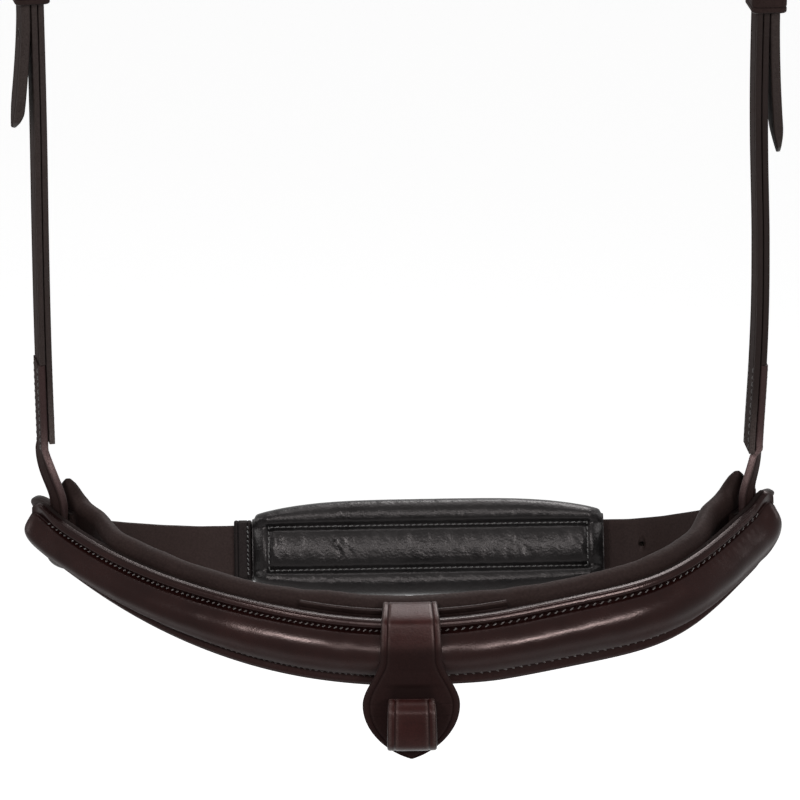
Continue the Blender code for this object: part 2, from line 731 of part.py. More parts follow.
class Buckle:
    """A heel-bar buckle on a folded strap end; turn is +1 where the fold turns back outward, -1 inward."""

    def __init__(self, layer, billet, width, turn, far_t):
        self.layer = layer
        self.billet = billet
        self.width = width
        self.turn = turn
        self.fold = layer / 2 + GAP + BAR_RADIUS
        self.bar_t = turn * self.fold
        outermost = self.bar_t + self.fold + layer / 2 if turn > 0 else layer / 2
        self.billet_t = outermost + GAP + billet / 2
        self.billet_far_t = far_t
        self.rest_t = (1.5 * layer + GAP if turn > 0 else layer / 2) + GAP + billet / 2
        far_bar_t = far_t + billet / 2 + GAP + BAR_RADIUS
        self.tilt = math.atan2(far_bar_t - self.bar_t, BAR_PITCH)
        self.length = math.hypot(far_bar_t - self.bar_t, BAR_PITCH)

    def folded(self, start, end):
        """The strap's middle line: out along the straight layer, round the bar and back to end."""
        path = [(start, 0.0), (-RETURN_SLOPE, 0.0)]
        bend = arc((0.0, self.bar_t), self.fold, -self.turn * math.pi / 2, self.turn * math.pi / 2, 6)
        back = self.turn * (self.layer + GAP)
        slope = []
        for u in (0.25, 0.5, 0.75, 1.0):
            slope.append((-RETURN_SLOPE * u, mix(2 * self.bar_t, back, smooth(u, 0.0, 1.0))))
        return path + bend + slope + [(end, back)]

    def billet_line(self, a):
        """How far out the billet's middle lies at a."""
        inside = mix(self.billet_t, self.billet_far_t, smooth(a, 0.001, BAR_PITCH))
        settled = mix(self.rest_t, self.billet_t, smooth(a, -RETURN_SLOPE - 0.002, -0.0015))
        return inside if a > 0 else settled

    def frame_point(self, p, q):
        """A point p up the frame's plane and q outward from it."""
        return (p * math.cos(self.tilt) - q * math.sin(self.tilt),
                self.bar_t + p * math.sin(self.tilt) + q * math.cos(self.tilt))

    def tongue_line(self):
        """The tongue's middle line, hooked round the heel bar and out over the far bar."""
        hook = BAR_RADIUS + GAP + TONGUE_RADIUS
        ring = arc((0.0, 0.0), hook, math.pi / 2 + TONGUE_HOOK, math.pi / 2, 10)
        shaft = [(self.length * u, hook) for u in (0.3, 0.6)] + [(self.length + TONGUE_OVERHANG, hook)]
        return [self.frame_point(p, q) for p, q in ring + shaft]

    def crossing(self):
        """Where the tongue runs through the billet: its lowest and highest a."""
        hook = BAR_RADIUS + GAP + TONGUE_RADIUS
        reach = self.billet / 2 + TONGUE_RADIUS + 2 * GAP
        found = []
        for k in range(200):
            a, t = self.frame_point(self.length * k / 200, hook)
            if abs(t - self.billet_line(a)) < reach:
                found.append(a)
        return min(found), max(found)


def make_buckle(prefix, buckle, place, normal_of_plane, material_name="steel"):
    """Frame and tongue; place maps (a, t, w) to the noseband's frame."""
    half = buckle.width / 2 + FRAME_SIDE_GAP + BAR_RADIUS
    outline = rounded_rectangle((0.0, -half), (buckle.length, half), FRAME_CORNER)
    frame_points = []
    for p, w in outline:
        a, t = buckle.frame_point(p, 0.0)
        frame_points.append(place(a, t, w))
    plane_normal = unit(np.cross(frame_points[3] - frame_points[0], frame_points[8] - frame_points[0]))
    origin = place(0.0, buckle.bar_t, 0.0)
    frame_mesh = tube(frame_points, BAR_RADIUS, closed=True, reference=plane_normal)
    make_object(f"{prefix}_buckle_frame", *frame_mesh, material_name)
    tongue = [place(a, t, 0.0) for a, t in buckle.tongue_line()]
    tongue_mesh = tube(tongue, TONGUE_RADIUS, reference=normal_of_plane)
    make_object(f"{prefix}_buckle_tongue", *tongue_mesh, material_name, origin)


def cut_tongue_slot(target, name, buckle, place):
    """The slot through the fold that lets the tongue round the bar."""
    low = min(0.0, 2 * buckle.bar_t) - buckle.layer
    high = max(0.0, 2 * buckle.bar_t) + buckle.layer
    a_low = -BAR_RADIUS - 2 * TONGUE_RADIUS - 3 * GAP
    a_high = buckle.fold + buckle.layer
    w = SLOT_WIDTH / 2
    rings = [[place(a, t, side) for a, t in ((a_low, low), (a_high, low), (a_high, high), (a_low, high))]
             for side in (-w, w)]
    cut(target, name, *loft(rings))


# Chin straps, in a plane that drops towards the back: x across, t outward, w up

CHIN_CENTRE = (PAD_LEFT + PAD_RIGHT) / 2
CHIN_OUT = np.array([0.0, math.cos(CHIN_TILT), -math.sin(CHIN_TILT)])
CHIN_LEVEL_UP = np.array([0.0, math.sin(CHIN_TILT), math.cos(CHIN_TILT)])
CHIN_ACROSS = X * math.cos(CHIN_ROLL) + CHIN_LEVEL_UP * math.sin(CHIN_ROLL)
CHIN_UP = CHIN_LEVEL_UP * math.cos(CHIN_ROLL) - X * math.sin(CHIN_ROLL)


def chin_point(x, t, w=0.0):
    """A point of the chin assembly, which is rolled a little about the middle of its pad."""
    middle = X * CHIN_CENTRE - Z * CHIN_DROP
    return middle + CHIN_ACROSS * (x - CHIN_CENTRE) + CHIN_OUT * t + CHIN_UP * w


def hermite(start, end, start_dir, end_dir, steps):
    """Points after start up to end on a smooth curve."""
    reach = np.linalg.norm(end - start)
    rows = []
    for k in range(1, steps + 1):
        u = k / steps
        rows.append(start * (2 * u ** 3 - 3 * u ** 2 + 1) + end * (3 * u ** 2 - 2 * u ** 3)
                    + start_dir * reach * (u ** 3 - 2 * u ** 2 + u) + end_dir * reach * (u ** 3 - u ** 2))
    return rows


def chin_lead(side, straight_x):
    """Points and outward directions from the noseband's end to where the strap runs straight."""
    points = []
    normals = []
    for k in range(4):
        s = side * (band_end(side) - CHIN_POCKET_REACH * (1 - k / 3))
        points.append(band_point(s, CHIN_N, mix(CHIN_POCKET_HIGH, CHIN_POCKET_LOW, k / 3)))
        normals.append(band_frame(s)[2])
    turn_point = chin_point(side * (BAND_SIDE_REACH - CHIN_TURN_INSET), CHIN_TURN_OUT)
    straight = chin_point(straight_x, CHIN_STRAP_OUT)
    leaving = unit(points[-1] - points[-2])
    points.append(points[-1] + leaving * CHIN_LEAD_OUT)
    normals.append(normals[-1])
    back_in = unit(straight - turn_point)
    turn_normal = unit(np.cross(back_in, CHIN_UP)) * side
    first = hermite(points[-1], turn_point, leaving * 1.15, back_in * 1.15, 8)
    second = hermite(turn_point, straight, back_in, -side * CHIN_ACROSS, 6)
    points += first + second
    end_normal = normals[-1]
    normals += [unit(mix(end_normal, turn_normal, k / 8)) for k in range(1, 9)]
    normals += [unit(mix(turn_normal, CHIN_OUT, k / 6)) for k in range(1, 7)]
    return points, normals


CHIN_BUCKLE = Buckle(CHIN_THICK, CHIN_THICK, CHIN_WIDTH, 1, 0.0040)


def chin_place(a, t, w):
    """Buckle coordinates to the noseband's frame: a runs to the right from the heel bar."""
    return chin_point(CHIN_BAR_X + a, CHIN_STRAP_OUT + t, w)


def planar(path, place):
    """Points and thickness directions of a side-view path."""
    points = [place(a, t, 0.0) for a, t in path]
    origin = place(0.0, 0.0, 0.0)
    normals = [place(d[0], d[1], 0.0) - origin for d in left_normals(path)]
    return points, normals


def make_chin_straps():
    straight_left = PAD_LEFT - END_KEEPER_WIDTH - PAD_SLIDE
    lead, lead_normals = chin_lead(-1, straight_left)
    folded = CHIN_BUCKLE.folded(straight_left - CHIN_BAR_X, -CHIN_TURNBACK)[1:]
    points, normals = planar(folded, chin_place)
    points = lead + points
    normals = lead_normals + normals
    mesh = ribbon(points, normals, [CHIN_WIDTH] * len(points), CHIN_THICK)
    strap = make_object("chin_strap_left", *mesh, "brown_leather")
    cut_tongue_slot(strap, "chin_slot_cutter", CHIN_BUCKLE, chin_place)
    make_chin_billet()
    make_buckle("chin", CHIN_BUCKLE, chin_place, CHIN_UP)


def chin_billet_t(a):
    """The billet's middle line, from its place under the far bar out to its tail."""
    settled = -CHIN_TURNBACK - 0.001
    if a > BAR_PITCH:
        return mix(CHIN_BUCKLE.billet_far_t, 0.0, smooth(a, BAR_PITCH, CHIN_SETTLED))
    on_strap = CHIN_THICK + GAP
    return mix(on_strap, CHIN_BUCKLE.billet_line(a), smooth(a, settled - CHIN_TAIL_SETTLE, settled))


def make_chin_billet():
    straight_right = PAD_RIGHT + PAD_SLIDE
    lead, lead_normals = chin_lead(1, straight_right)
    pad_end = straight_right - CHIN_BAR_X
    marks = [(pad_end + CHIN_SETTLED) / 2] + [mix(CHIN_SETTLED, BAR_PITCH, k / 4) for k in range(5)]
    marks += [mix(BAR_PITCH, 0.0, k / 5) for k in range(1, 6)]
    marks += [mix(0.0, -RETURN_SLOPE - 0.002, k / 4) for k in range(1, 5)]
    marks += [-0.7 * CHIN_TURNBACK]
    marks += [-CHIN_TURNBACK - 0.001 - CHIN_TAIL_SETTLE * k / 3 for k in range(4)]
    marks += [POINT_LENGTH * share - CHIN_TAIL for share in POINT_SHARES[::-1]]
    points, normals = planar([(a, chin_billet_t(a)) for a in marks], chin_place)
    points = lead + points
    normals = lead_normals + [-n for n in normals]
    widths = [CHIN_WIDTH] * (len(points) - 3) + [CHIN_WIDTH * share for share in POINT_WIDTHS[::-1]]
    strap = make_object("chin_strap_right", *ribbon(points, normals, widths, CHIN_THICK), "brown_leather")
    low, high = CHIN_BUCKLE.crossing()
    centre = (low + high) / 2
    spot = chin_place(centre, chin_billet_t(centre), 0.0)
    used_length = high - low + 2 * TONGUE_RADIUS
    punch(strap, "chin_tongue_hole_cutter", spot, CHIN_ACROSS, CHIN_OUT, used_length, SLOT_WIDTH)
    for k in range(1, CHIN_SPARE_HOLES + 1):
        a = centre + k * CHIN_HOLE_PITCH
        spot = chin_place(a, chin_billet_t(a), 0.0)
        punch(strap, f"chin_hole_cutter_{k}", spot, CHIN_ACROSS, CHIN_OUT, 2 * HOLE_RADIUS, 2 * HOLE_RADIUS)


# Chin pad

PAD_BACK_T = CHIN_STRAP_OUT - CHIN_THICK / 2 - GAP
PAD_COVER_BACK_T = PAD_BACK_T - PAD_BACK_THICK - GAP


def pad_share(x):
    return (x - CHIN_CENTRE) / (PAD_RIGHT - CHIN_CENTRE)


def pad_half_height(x):
    return mix(PAD_HEIGHT, PAD_END_HEIGHT, abs(pad_share(x)) ** 4) / 2 * end_factor(
        (PAD_RIGHT - PAD_LEFT) / 2 - abs(x - CHIN_CENTRE), PAD_END_ROUND, 0.85)


def pad_outline(x):
    """The pad's soft front: (t, w) from the lower back edge, round the front, to the upper back edge."""
    half = pad_half_height(x)
    to_end = (PAD_RIGHT - PAD_LEFT) / 2 - abs(x - CHIN_CENTRE)
    thick = mix(PAD_END_THICK, PAD_THICK, smooth(to_end, 0.0, PAD_END_RUN))
    thick *= end_factor(to_end, PAD_END_ROUND, 0.6)
    in_panel = smooth(to_end, PAD_SEAM_END - PAD_GROOVE_WIDTH, PAD_SEAM_END + PAD_GROOVE_WIDTH)
    end_groove = bump(to_end, PAD_SEAM_END, PAD_GROOVE_WIDTH)
    seam = PAD_SEAM
    roll = half - seam
    groove = PAD_GROOVE * in_panel
    shape = [(0.0, half - PAD_BACK_EDGE), (0.0, half - PAD_SIDE_EDGE), (0.30 * thick, half),
             (0.72 * thick, half - 0.10 * roll), (0.97 * thick, seam + 0.55 * roll),
             (0.96 * thick, seam + 0.22 * roll), (0.90 * thick - groove, seam),
             (0.97 * thick, seam - PAD_PANEL_EDGE), (1.02 * thick, 0.45 * seam), (1.04 * thick, 0.0)]
    lowered = [(t - PAD_GROOVE * end_groove * (1 if w < seam else 0), w) for t, w in shape]
    upper = [(PAD_COVER_BACK_T - t, w) for t, w in lowered]
    lower = [(t, -w) for t, w in upper[:-1]]
    return lower + upper[::-1]


def pad_places():
    ends = [0.0003, 0.0012, 0.0028, 0.0048, 0.0062, 0.0078, 0.0110, 0.0170]
    inner = (PAD_RIGHT - PAD_LEFT) / 2 - ends[-1]
    middle = [mix(-inner, inner, k / 9) for k in range(10)]
    half = (PAD_RIGHT - PAD_LEFT) / 2
    offsets = [e - half for e in ends[:-1]] + middle + [half - e for e in ends[:-1]][::-1]
    return [CHIN_CENTRE + d for d in offsets]


def make_pad():
    places = pad_places()
    outer = [pad_outline(x) for x in places]
    inner = [inset_pad(coarse(row), PAD_SKIN) for row in outer]
    first, last = 3, len(places) - 4
    outer_points = [[chin_point(x, t, w) for t, w in row] for x, row in zip(places, outer)]
    inner_points = [[chin_point(x, t, w) for t, w in row] for x, row in zip(places, inner)]
    make_object("chin_pad_cover", *shell_loft(outer_points, inner_points, first, last), "black_leather")
    rings = []
    for x, row in list(zip(places, outer))[first + 1:last]:
        rings.append([chin_point(x, t, w) for t, w in inset_pad(coarse(row), PAD_SKIN + GAP)])
    make_object("chin_pad_filling", *loft(rings), "foam")
    make_pad_backing()
    for side, x in zip(("left", "right"), PAD_KEEPER_X):
        make_pad_keeper(side, x)
    make_end_keeper()


def coarse(row):
    """A pad row without every second of its middle points."""
    return row[:2] + row[2:-2:2] + row[-2:]


def inset_pad(row, distance):
    """The inside of the pad's skin; the two back edges only move in across the pad."""
    normals = left_normals(row)
    moved = [(t - distance * d[0], w - distance * d[1]) for (t, w), d in zip(row, normals)]
    moved[0] = (row[0][0], row[0][1] + distance)
    moved[-1] = (row[-1][0], row[-1][1] - distance)
    moved[1] = (row[1][0] - 0.5 * distance, row[1][1] + distance)
    moved[-2] = (row[-2][0] - 0.5 * distance, row[-2][1] - distance)
    return moved


def make_pad_backing():
    rings = []
    for x in pad_places():
        half = pad_half_height(x) - PAD_BACK_INSET
        front = PAD_BACK_T - PAD_BACK_THICK
        corners = ((front, -half), (PAD_BACK_T, -half), (PAD_BACK_T, half), (front, half))
        rings.append([chin_point(x, t, w) for t, w in corners])
    make_object("chin_pad_backing", *loft(rings), "black_leather")


def make_pad_keeper(side, x):
    """An arch over the straps with a foot on the pad's back at each side."""
    over_fold = x < CHIN_BAR_X
    stack = 3 * CHIN_THICK + 2 * GAP if over_fold else CHIN_THICK
    foot_t = PAD_BACK_T + GAP + PAD_KEEPER_THICK / 2
    top_t = CHIN_STRAP_OUT - CHIN_THICK / 2 + stack + SLIDE_GAP + PAD_KEEPER_THICK / 2
    wall = CHIN_WIDTH / 2 + SLIDE_GAP + PAD_KEEPER_THICK / 2
    r = PAD_KEEPER_BEND
    right_half = [(wall + PAD_KEEPER_FOOT, foot_t), (wall + r, foot_t), (wall + 0.3 * r, foot_t + 0.3 * r),
                  (wall, foot_t + r), (wall, top_t - r), (wall - 0.3 * r, top_t - 0.3 * r),
                  (wall - r, top_t)]
    path = right_half + [(-w, t) for w, t in right_half[::-1]]
    points = [chin_point(x, t, w) for w, t in path]
    normals = [CHIN_UP * d[0] + CHIN_OUT * d[1] for d in left_normals(path)]
    mesh = ribbon(points, normals, [PAD_KEEPER_WIDTH] * len(points), PAD_KEEPER_THICK)
    make_object(f"chin_pad_keeper_{side}", *mesh, "black_leather")


def make_end_keeper():
    """A closed loop round the strap and its tail, against the pad's left end."""
    x = PAD_LEFT - GAP - END_KEEPER_WIDTH / 2
    wall = END_KEEPER_WALL
    low = (-CHIN_THICK / 2 - SLIDE_GAP - wall / 2, -CHIN_WIDTH / 2 - SLIDE_GAP - wall / 2)
    high = (1.5 * CHIN_THICK + GAP + SLIDE_GAP + wall / 2, CHIN_WIDTH / 2 + SLIDE_GAP + wall / 2)
    outline = rounded_rectangle(low, high, 0.0014)
    points = [chin_point(x, CHIN_STRAP_OUT + t, w) for t, w in outline]
    make_ring("chin_pad_end_keeper", points, CHIN_ACROSS, END_KEEPER_WIDTH, wall, "black_leather")


def make_ring(name, points, axis, width, wall, material_name, origin=(0.0, 0.0, 0.0)):
    normals = [np.cross(t, axis) for t in tangents(points, closed=True)]
    mesh = ribbon(points, normals, [width] * len(points), wall, closed=True)
    return make_object(name, *mesh, material_name, origin)


# Cheek straps, in their own side view: a is the height, t outward, w back

def cheek_x(cheek, height):
    mid_lap = CHEEK_FOOT + CHEEK_LAP / 2
    inset = mix(cheek["foot_inset"], cheek["top_inset"], smooth(height, mid_lap, mid_lap + FOOT_FADE))
    return cheek["side"] * (BAND_SIDE_REACH - inset + cheek["bow"] * bump(height, BOW_HEIGHT, BOW_SPREAD))


def cheek_place(side, cheek):
    out = side * np.array([math.cos(cheek["twist"]), math.sin(cheek["twist"]), 0.0])
    back = np.array([-math.sin(cheek["twist"]), math.cos(cheek["twist"]), 0.0])

    def place(a, t, w):
        return X * cheek_x(cheek, a) + np.array([0.0, CHEEK_BACK, a]) + out * t + back * w

    return place, out, back


CHEEK_BUCKLE = Buckle(CHEEK_LAYER, BILLET_THICK, CHEEK_WIDTH, -1, 0.0003)
OUTER_LAYER_T = GAP / 2 + CHEEK_LAYER / 2
HANGER_HALF = CHEEK_LAYER + GAP / 2


def bar_place(place):
    """Buckle coordinates on a cheek strap: a up from the heel bar, t from its outer layer."""
    return lambda a, t, w: place(CHEEK_BAR + a, OUTER_LAYER_T + t, w)


def make_cheek(name, side, cheek, runner_height):
    place, out, back = cheek_place(side, cheek)
    path = CHEEK_BUCKLE.folded(CHEEK_FOOT + CHEEK_LAP + GAP - CHEEK_BAR, CHEEK_FOOT - CHEEK_BAR)
    dense = refine(path, CHEEK_STEP)
    points = [bar_place(place)(a, t, 0.0) for a, t in dense]
    normals = [Z * d[0] + out * d[1] for d in left_normals(dense)]
    mesh = ribbon(points, normals, [CHEEK_WIDTH] * len(points), CHEEK_LAYER)
    strap = make_object(f"cheek_strap_{name}", *mesh, "brown_leather")
    cut_tongue_slot(strap, f"cheek_slot_cutter_{name}", CHEEK_BUCKLE, bar_place(place))
    make_buckle(f"cheek_{name}", CHEEK_BUCKLE, bar_place(place), back)
    make_cheek_keeper(f"fixed_keeper_{name}", place, FIXED_KEEPER)
    make_cheek_keeper(f"runner_keeper_{name}", place, runner_height)
    make_hanger_loop(name, side, place, out)


def refine(path, longest):
    """The same path with its long steps divided."""
    rows = [path[0]]
    for before, after in zip(path, path[1:]):
        count = max(1, math.ceil(math.hypot(after[0] - before[0], after[1] - before[1]) / longest))
        rows += [(mix(before[0], after[0], k / count), mix(before[1], after[1], k / count))
                 for k in range(1, count + 1)]
    return rows


def make_cheek_keeper(name, place, height):
    middle = height + KEEPER_HEIGHT / 2
    half = KEEPER_WALL / 2
    low = (-HANGER_HALF - SLIDE_GAP - half, -CHEEK_WIDTH / 2 - SLIDE_GAP - half)
    high = (HANGER_HALF + GAP + BILLET_THICK + SLIDE_GAP + half, CHEEK_WIDTH / 2 + SLIDE_GAP + half)
    outline = rounded_rectangle(low, high, 0.0016)
    points = [place(middle, t, w) for t, w in outline]
    make_ring(name, points, Z, KEEPER_HEIGHT, KEEPER_WALL, "brown_leather", place(middle, 0.0, 0.0))


def make_hanger_loop(name, side, place, out):
    """From the pocket in the noseband's end up to the lap on the cheek strap's inner layer."""
    s = side * (band_end(side) - LOOP_INSET)
    heights = (-LOOP_DEPTH, -0.3 * LOOP_DEPTH, 0.4 * LOOP_DEPTH, band_side(side)["end_height"] / 2 + 0.001)
    points = [band_point(s, LOOP_N, h) for h in heights]
    normals = [band_frame(s)[2]] * len(heights)
    lap_t = GAP / 2 + LOOP_THICK / 2
    lap_foot = place(CHEEK_FOOT - 0.001, lap_t, 0.0)
    rising = unit(points[-1] - points[-2])
    points += hermite(points[-1], lap_foot, rising, Z, 6)
    normals += [unit(mix(band_frame(s)[2], out, (k / 6) ** 1.6)) for k in range(1, 7)]
    for k in range(1, 5):
        points.append(place(CHEEK_FOOT - 0.001 + (CHEEK_LAP + 0.001) * k / 4, lap_t, 0.0))
        normals.append(out)
    mesh = ribbon(points, normals, [CHEEK_WIDTH] * len(points), LOOP_THICK)
    make_object(f"hanger_loop_{name}", *mesh, "brown_leather")


# Headpiece

def head_billet(side, cheek, tail):
    """Points, outward directions and widths from a tail's tip up to the foot of the arch."""
    place, out, _ = cheek_place(side, cheek)
    to_bar = bar_place(place)
    tip = CHEEK_BAR - tail["length"]
    heights = [tip + POINT_LENGTH * share for share in POINT_SHARES]
    heights += [mix(heights[-1], RUNNER_RIGHT, k / 3) for k in range(1, 4)]
    heights += [RUNNER_LEFT + KEEPER_HEIGHT, FIXED_KEEPER + KEEPER_HEIGHT]
    heights += [mix(CHEEK_BAR - 0.006, CHEEK_BAR, k) for k in (0, 1)]
    heights += [CHEEK_BAR + BAR_PITCH * k / 6 for k in range(1, 7)]
    heights += [mix(CHEEK_BAR + BAR_PITCH, ARCH_FOOT, k / 3) for k in (1, 2)]
    rows = []
    for height in heights:
        a = height - CHEEK_BAR
        t = CHEEK_BUCKLE.billet_line(a)
        flare = tail["flare"] * max(0.0, (RUNNER_RIGHT - height) / (RUNNER_RIGHT - tip)) ** 1.4
        beyond = smooth(a, BAR_PITCH, ARCH_FOOT - CHEEK_BAR)
        rows.append(mix(to_bar(a, t + flare, 0.0), arch_point(side, 0.0) + Z * (height - ARCH_FOOT), beyond))
    widths = [CHEEK_WIDTH * share for share in POINT_WIDTHS] + [CHEEK_WIDTH] * (len(rows) - 3)
    return rows, [out] * len(rows), widths


def arch_point(side, angle):
    """A point on the arch over the poll; angle runs from its foot, 0, to the crown's flat stretch."""
    centre_x = (CHEEK_LEFT["top_inset"] - CHEEK_RIGHT["top_inset"]) / 2
    half_span = BAND_SIDE_REACH - (CHEEK_LEFT["top_inset"] + CHEEK_RIGHT["top_inset"]) / 2
    x = centre_x * math.cos(angle) + side * (half_span * math.cos(angle) + CROWN_HALF * math.sin(angle))
    return np.array([x, CHEEK_BACK, ARCH_FOOT + ARCH_RISE * math.sin(angle)])


def make_headpiece():
    left, left_out, left_widths = head_billet(-1, CHEEK_LEFT, TAIL_LEFT)
    right, right_out, right_widths = head_billet(1, CHEEK_RIGHT, TAIL_RIGHT)
    left_arch, left_arch_out = head_arch(-1, left_out[-1])
    right_arch, right_arch_out = head_arch(1, right_out[-1])
    points = left + left_arch + right_arch[::-1] + right[::-1]
    normals = left_out + left_arch_out + right_arch_out[::-1] + right_out[::-1]
    widths = left_widths + [CHEEK_WIDTH] * (len(left_arch) + len(right_arch)) + right_widths[::-1]
    strap = make_object("headpiece_strap", *ribbon(points, normals, widths, BILLET_THICK), "brown_leather")
    for name, side, cheek in (("left", -1, CHEEK_LEFT), ("right", 1, CHEEK_RIGHT)):
        punch_billet(strap, name, side, cheek)


def head_arch(side, foot_out):
    """Points from just above the foot to within the crown's flat stretch."""
    angles = [math.pi / 2 * k / ARCH_STEPS for k in range(ARCH_STEPS + 1)]
    points = [arch_point(side, angle) for angle in angles]
    radial = [np.array([side * math.cos(angle), 0.0, math.sin(angle)]) for angle in angles]
    normals = [unit(mix(foot_out, r, smooth(k, 0, 4))) for k, r in enumerate(radial)]
    points.append(np.array([side * CROWN_FLAT * CROWN_HALF, CHEEK_BACK, CROWN_CENTRE_Z]))
    normals.append(Z)
    return points, normals


def punch_billet(strap, name, side, cheek):
    """The hole in use, drawn out by the slanting tongue, and spare holes above and below it."""
    place, out, _ = cheek_place(side, cheek)
    low, high = CHEEK_BUCKLE.crossing()
    centre = (low + high) / 2
    middle = bar_place(place)(centre, CHEEK_BUCKLE.billet_line(centre), 0.0)
    punch(strap, f"tongue_hole_cutter_{name}", middle, Z, out, high - low + 2 * TONGUE_RADIUS, SLOT_WIDTH)
    offsets = [k * HEAD_HOLE_PITCH for k in range(1, HEAD_SPARE_HOLES + 1)] + [-2.6 * HEAD_HOLE_PITCH]
    for k, offset in enumerate(offsets):
        a = centre + offset
        spot = bar_place(place)(a, 0.0, 0.0)
        punch(strap, f"hole_cutter_{name}_{k}", spot, Z, out, 2 * HOLE_RADIUS, 2 * HOLE_RADIUS, depth=0.012)


clear_scene()
make_noseband()
make_flash()
make_chin_straps()
make_pad()
make_cheek("left", -1, CHEEK_LEFT, RUNNER_LEFT)
make_cheek("right", 1, CHEEK_RIGHT, RUNNER_RIGHT)
make_headpiece()
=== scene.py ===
"""Leather, padding, stitching and steel for the noseband bridle. Metres, +Z up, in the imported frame."""
import math

import bpy
import numpy as np
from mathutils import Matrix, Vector


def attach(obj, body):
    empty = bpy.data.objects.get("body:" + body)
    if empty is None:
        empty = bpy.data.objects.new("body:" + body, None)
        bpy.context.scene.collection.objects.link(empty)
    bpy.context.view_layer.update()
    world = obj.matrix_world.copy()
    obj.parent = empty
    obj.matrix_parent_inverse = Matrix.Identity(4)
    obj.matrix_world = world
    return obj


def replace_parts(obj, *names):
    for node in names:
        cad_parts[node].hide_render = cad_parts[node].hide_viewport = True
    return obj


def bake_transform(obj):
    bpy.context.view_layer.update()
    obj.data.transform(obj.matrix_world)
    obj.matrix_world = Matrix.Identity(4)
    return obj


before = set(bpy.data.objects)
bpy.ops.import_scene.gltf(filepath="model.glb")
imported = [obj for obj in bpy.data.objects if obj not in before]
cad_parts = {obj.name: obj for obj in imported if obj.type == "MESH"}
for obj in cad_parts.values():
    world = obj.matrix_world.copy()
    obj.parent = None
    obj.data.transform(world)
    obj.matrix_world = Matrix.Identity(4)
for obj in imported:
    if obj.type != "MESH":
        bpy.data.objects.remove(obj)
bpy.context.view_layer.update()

# Noseband. LEFT and RIGHT are its two halves, as the camera sees them.
REACH = 0.1318
DEPTH, DROP = 0.062, 0.020
LEFT = {"fullness": 0.008, "height": 0.0205, "rise": 0.0040, "lift": 0.0011, "flare": 0.0076,
        "pitch": 0.00205, "unsewn": 0.0085, "stitch": 0.0013}
RIGHT = {"fullness": 0.118, "height": 0.0285, "rise": 0.0050, "lift": 0.0026, "flare": 0.0062,
         "pitch": 0.0028, "unsewn": 0.0080, "stitch": 0.0017}
LEAN = math.radians(12.8)
LEAN_FROM, LIFT_FROM = 0.045, 0.012
FACE_HEIGHT, FACE_THICK, FLANGE = 0.0255, 0.0018, 0.0044
BULGE_RISE, BULGE_FULLNESS, END_ROUND, END_LEAST = 0.0066, 0.60, 0.0085, 0.55
GAP, SLIDE_GAP = 0.0003, 0.0004
BACKING_THICK, LOOP_THICK, CHIN_THICK = 0.0020, 0.0026, 0.0025
BRIDGE_HALF, BRIDGE_THICK, BRIDGE_RISE = 0.038, 0.0015, 0.0020
PIT_DEPTH, PULL_DEPTH, FACE_WAVE = 0.00035, 0.00010, 0.00010

# Noseband lining: its edge is share of thickness back, then shares of the roll in from the edge
LINING_THICK, LINING_END_THICK, LINING_ROLL, LINING_SEAM = 0.0084, 0.0030, 0.0030, 0.0065
LINING_SHORT = 0.0008
LINING_EDGE = ((0.0, 1.0), (0.143, 0.30), (0.429, 0.0), (0.750, 0.53), (0.917, 1.67))
WRINKLE_DEPTH, SOFT_WAVE = 0.00012, 0.00016

# Flash loop and tab
FLASH_S, FLASH_REACH, FLASH_WIDTH, FLASH_THICK = 0.0026, 0.0270, 0.0200, 0.0018
TAB_WIDTH, TAB_WIDEST, TAB_TOP, TAB_TIP = 0.0305, 0.0150, 0.0025, 0.0344
TAB_LEAN = math.radians(8.0)
TAB_BACK_THICK = 0.0015
TAB_BACK_SHARES = (0.66, 0.77, 0.86, 0.93, 0.975, 1.0)
TAB_BACK_LEAD = ((0.0, 0.0), (0.0004, 0.0020), (0.0026, 0.0036), (0.0066, 0.0046), (0.0106, 0.0060))
TAB_LINES, DENT_DEPTH = (0.0148, 0.0191), 0.00018
FLASH_KEEPER_WIDTH, FLASH_KEEPER_TOP, FLASH_KEEPER_HEIGHT = 0.0143, 0.0106, 0.0156
FLASH_KEEPER_DEPTH, FLASH_KEEPER_WALL = 0.0052, 0.0016

# Chin straps and pad. A fold is its place and depth, its width, and its middle and reach up the pad.
CHIN_TILT, CHIN_ROLL, CHIN_DROP = math.radians(26.0), math.radians(1.0), 0.0026
CHIN_WIDTH, CHIN_OUT_Y, CHIN_BAR_X = 0.0190, 0.05005, 0.0082
CHIN_TURNBACK, CHIN_SETTLED, CHIN_TAIL = 0.042, 0.0315, 0.078
CHIN_HOLE_PITCH, AWL_SIDE, AWL_MARK, CHIN_MATT = 0.025, 0.0063, (0.0021, 0.0017), 0.6
PAD_LEFT, PAD_RIGHT, PAD_SLIDE = -0.0556, 0.0743, 0.006
PAD_HEIGHT, PAD_END_HEIGHT, PAD_THICK, PAD_END_THICK = 0.0356, 0.0265, 0.0078, 0.0052
PAD_SEAM, PAD_SEAM_END, PAD_BACK_THICK, PAD_GROOVE = 0.0080, 0.0062, 0.0016, 0.0012
PAD_FOLDS = ((-0.0241, 0.00060, 0.0006, 0.0, 0.0085), (-0.0205, 0.00030, 0.0008, 0.002, 0.006),
             (0.0416, 0.00045, 0.0007, 0.003, 0.008), (0.0440, 0.00025, 0.0009, -0.002, 0.006),
             (-0.0470, 0.00030, 0.0010, 0.003, 0.004), (0.0660, 0.00030, 0.0010, 0.002, 0.005))
PAD_KEEPERS = {"left": -0.030, "right": 0.048}
PAD_KEEPER_WIDTH, PAD_KEEPER_THICK, PAD_KEEPER_FOOT = 0.008, 0.0015, 0.0034
END_KEEPER_WIDTH, END_KEEPER_WALL = 0.0066, 0.0015

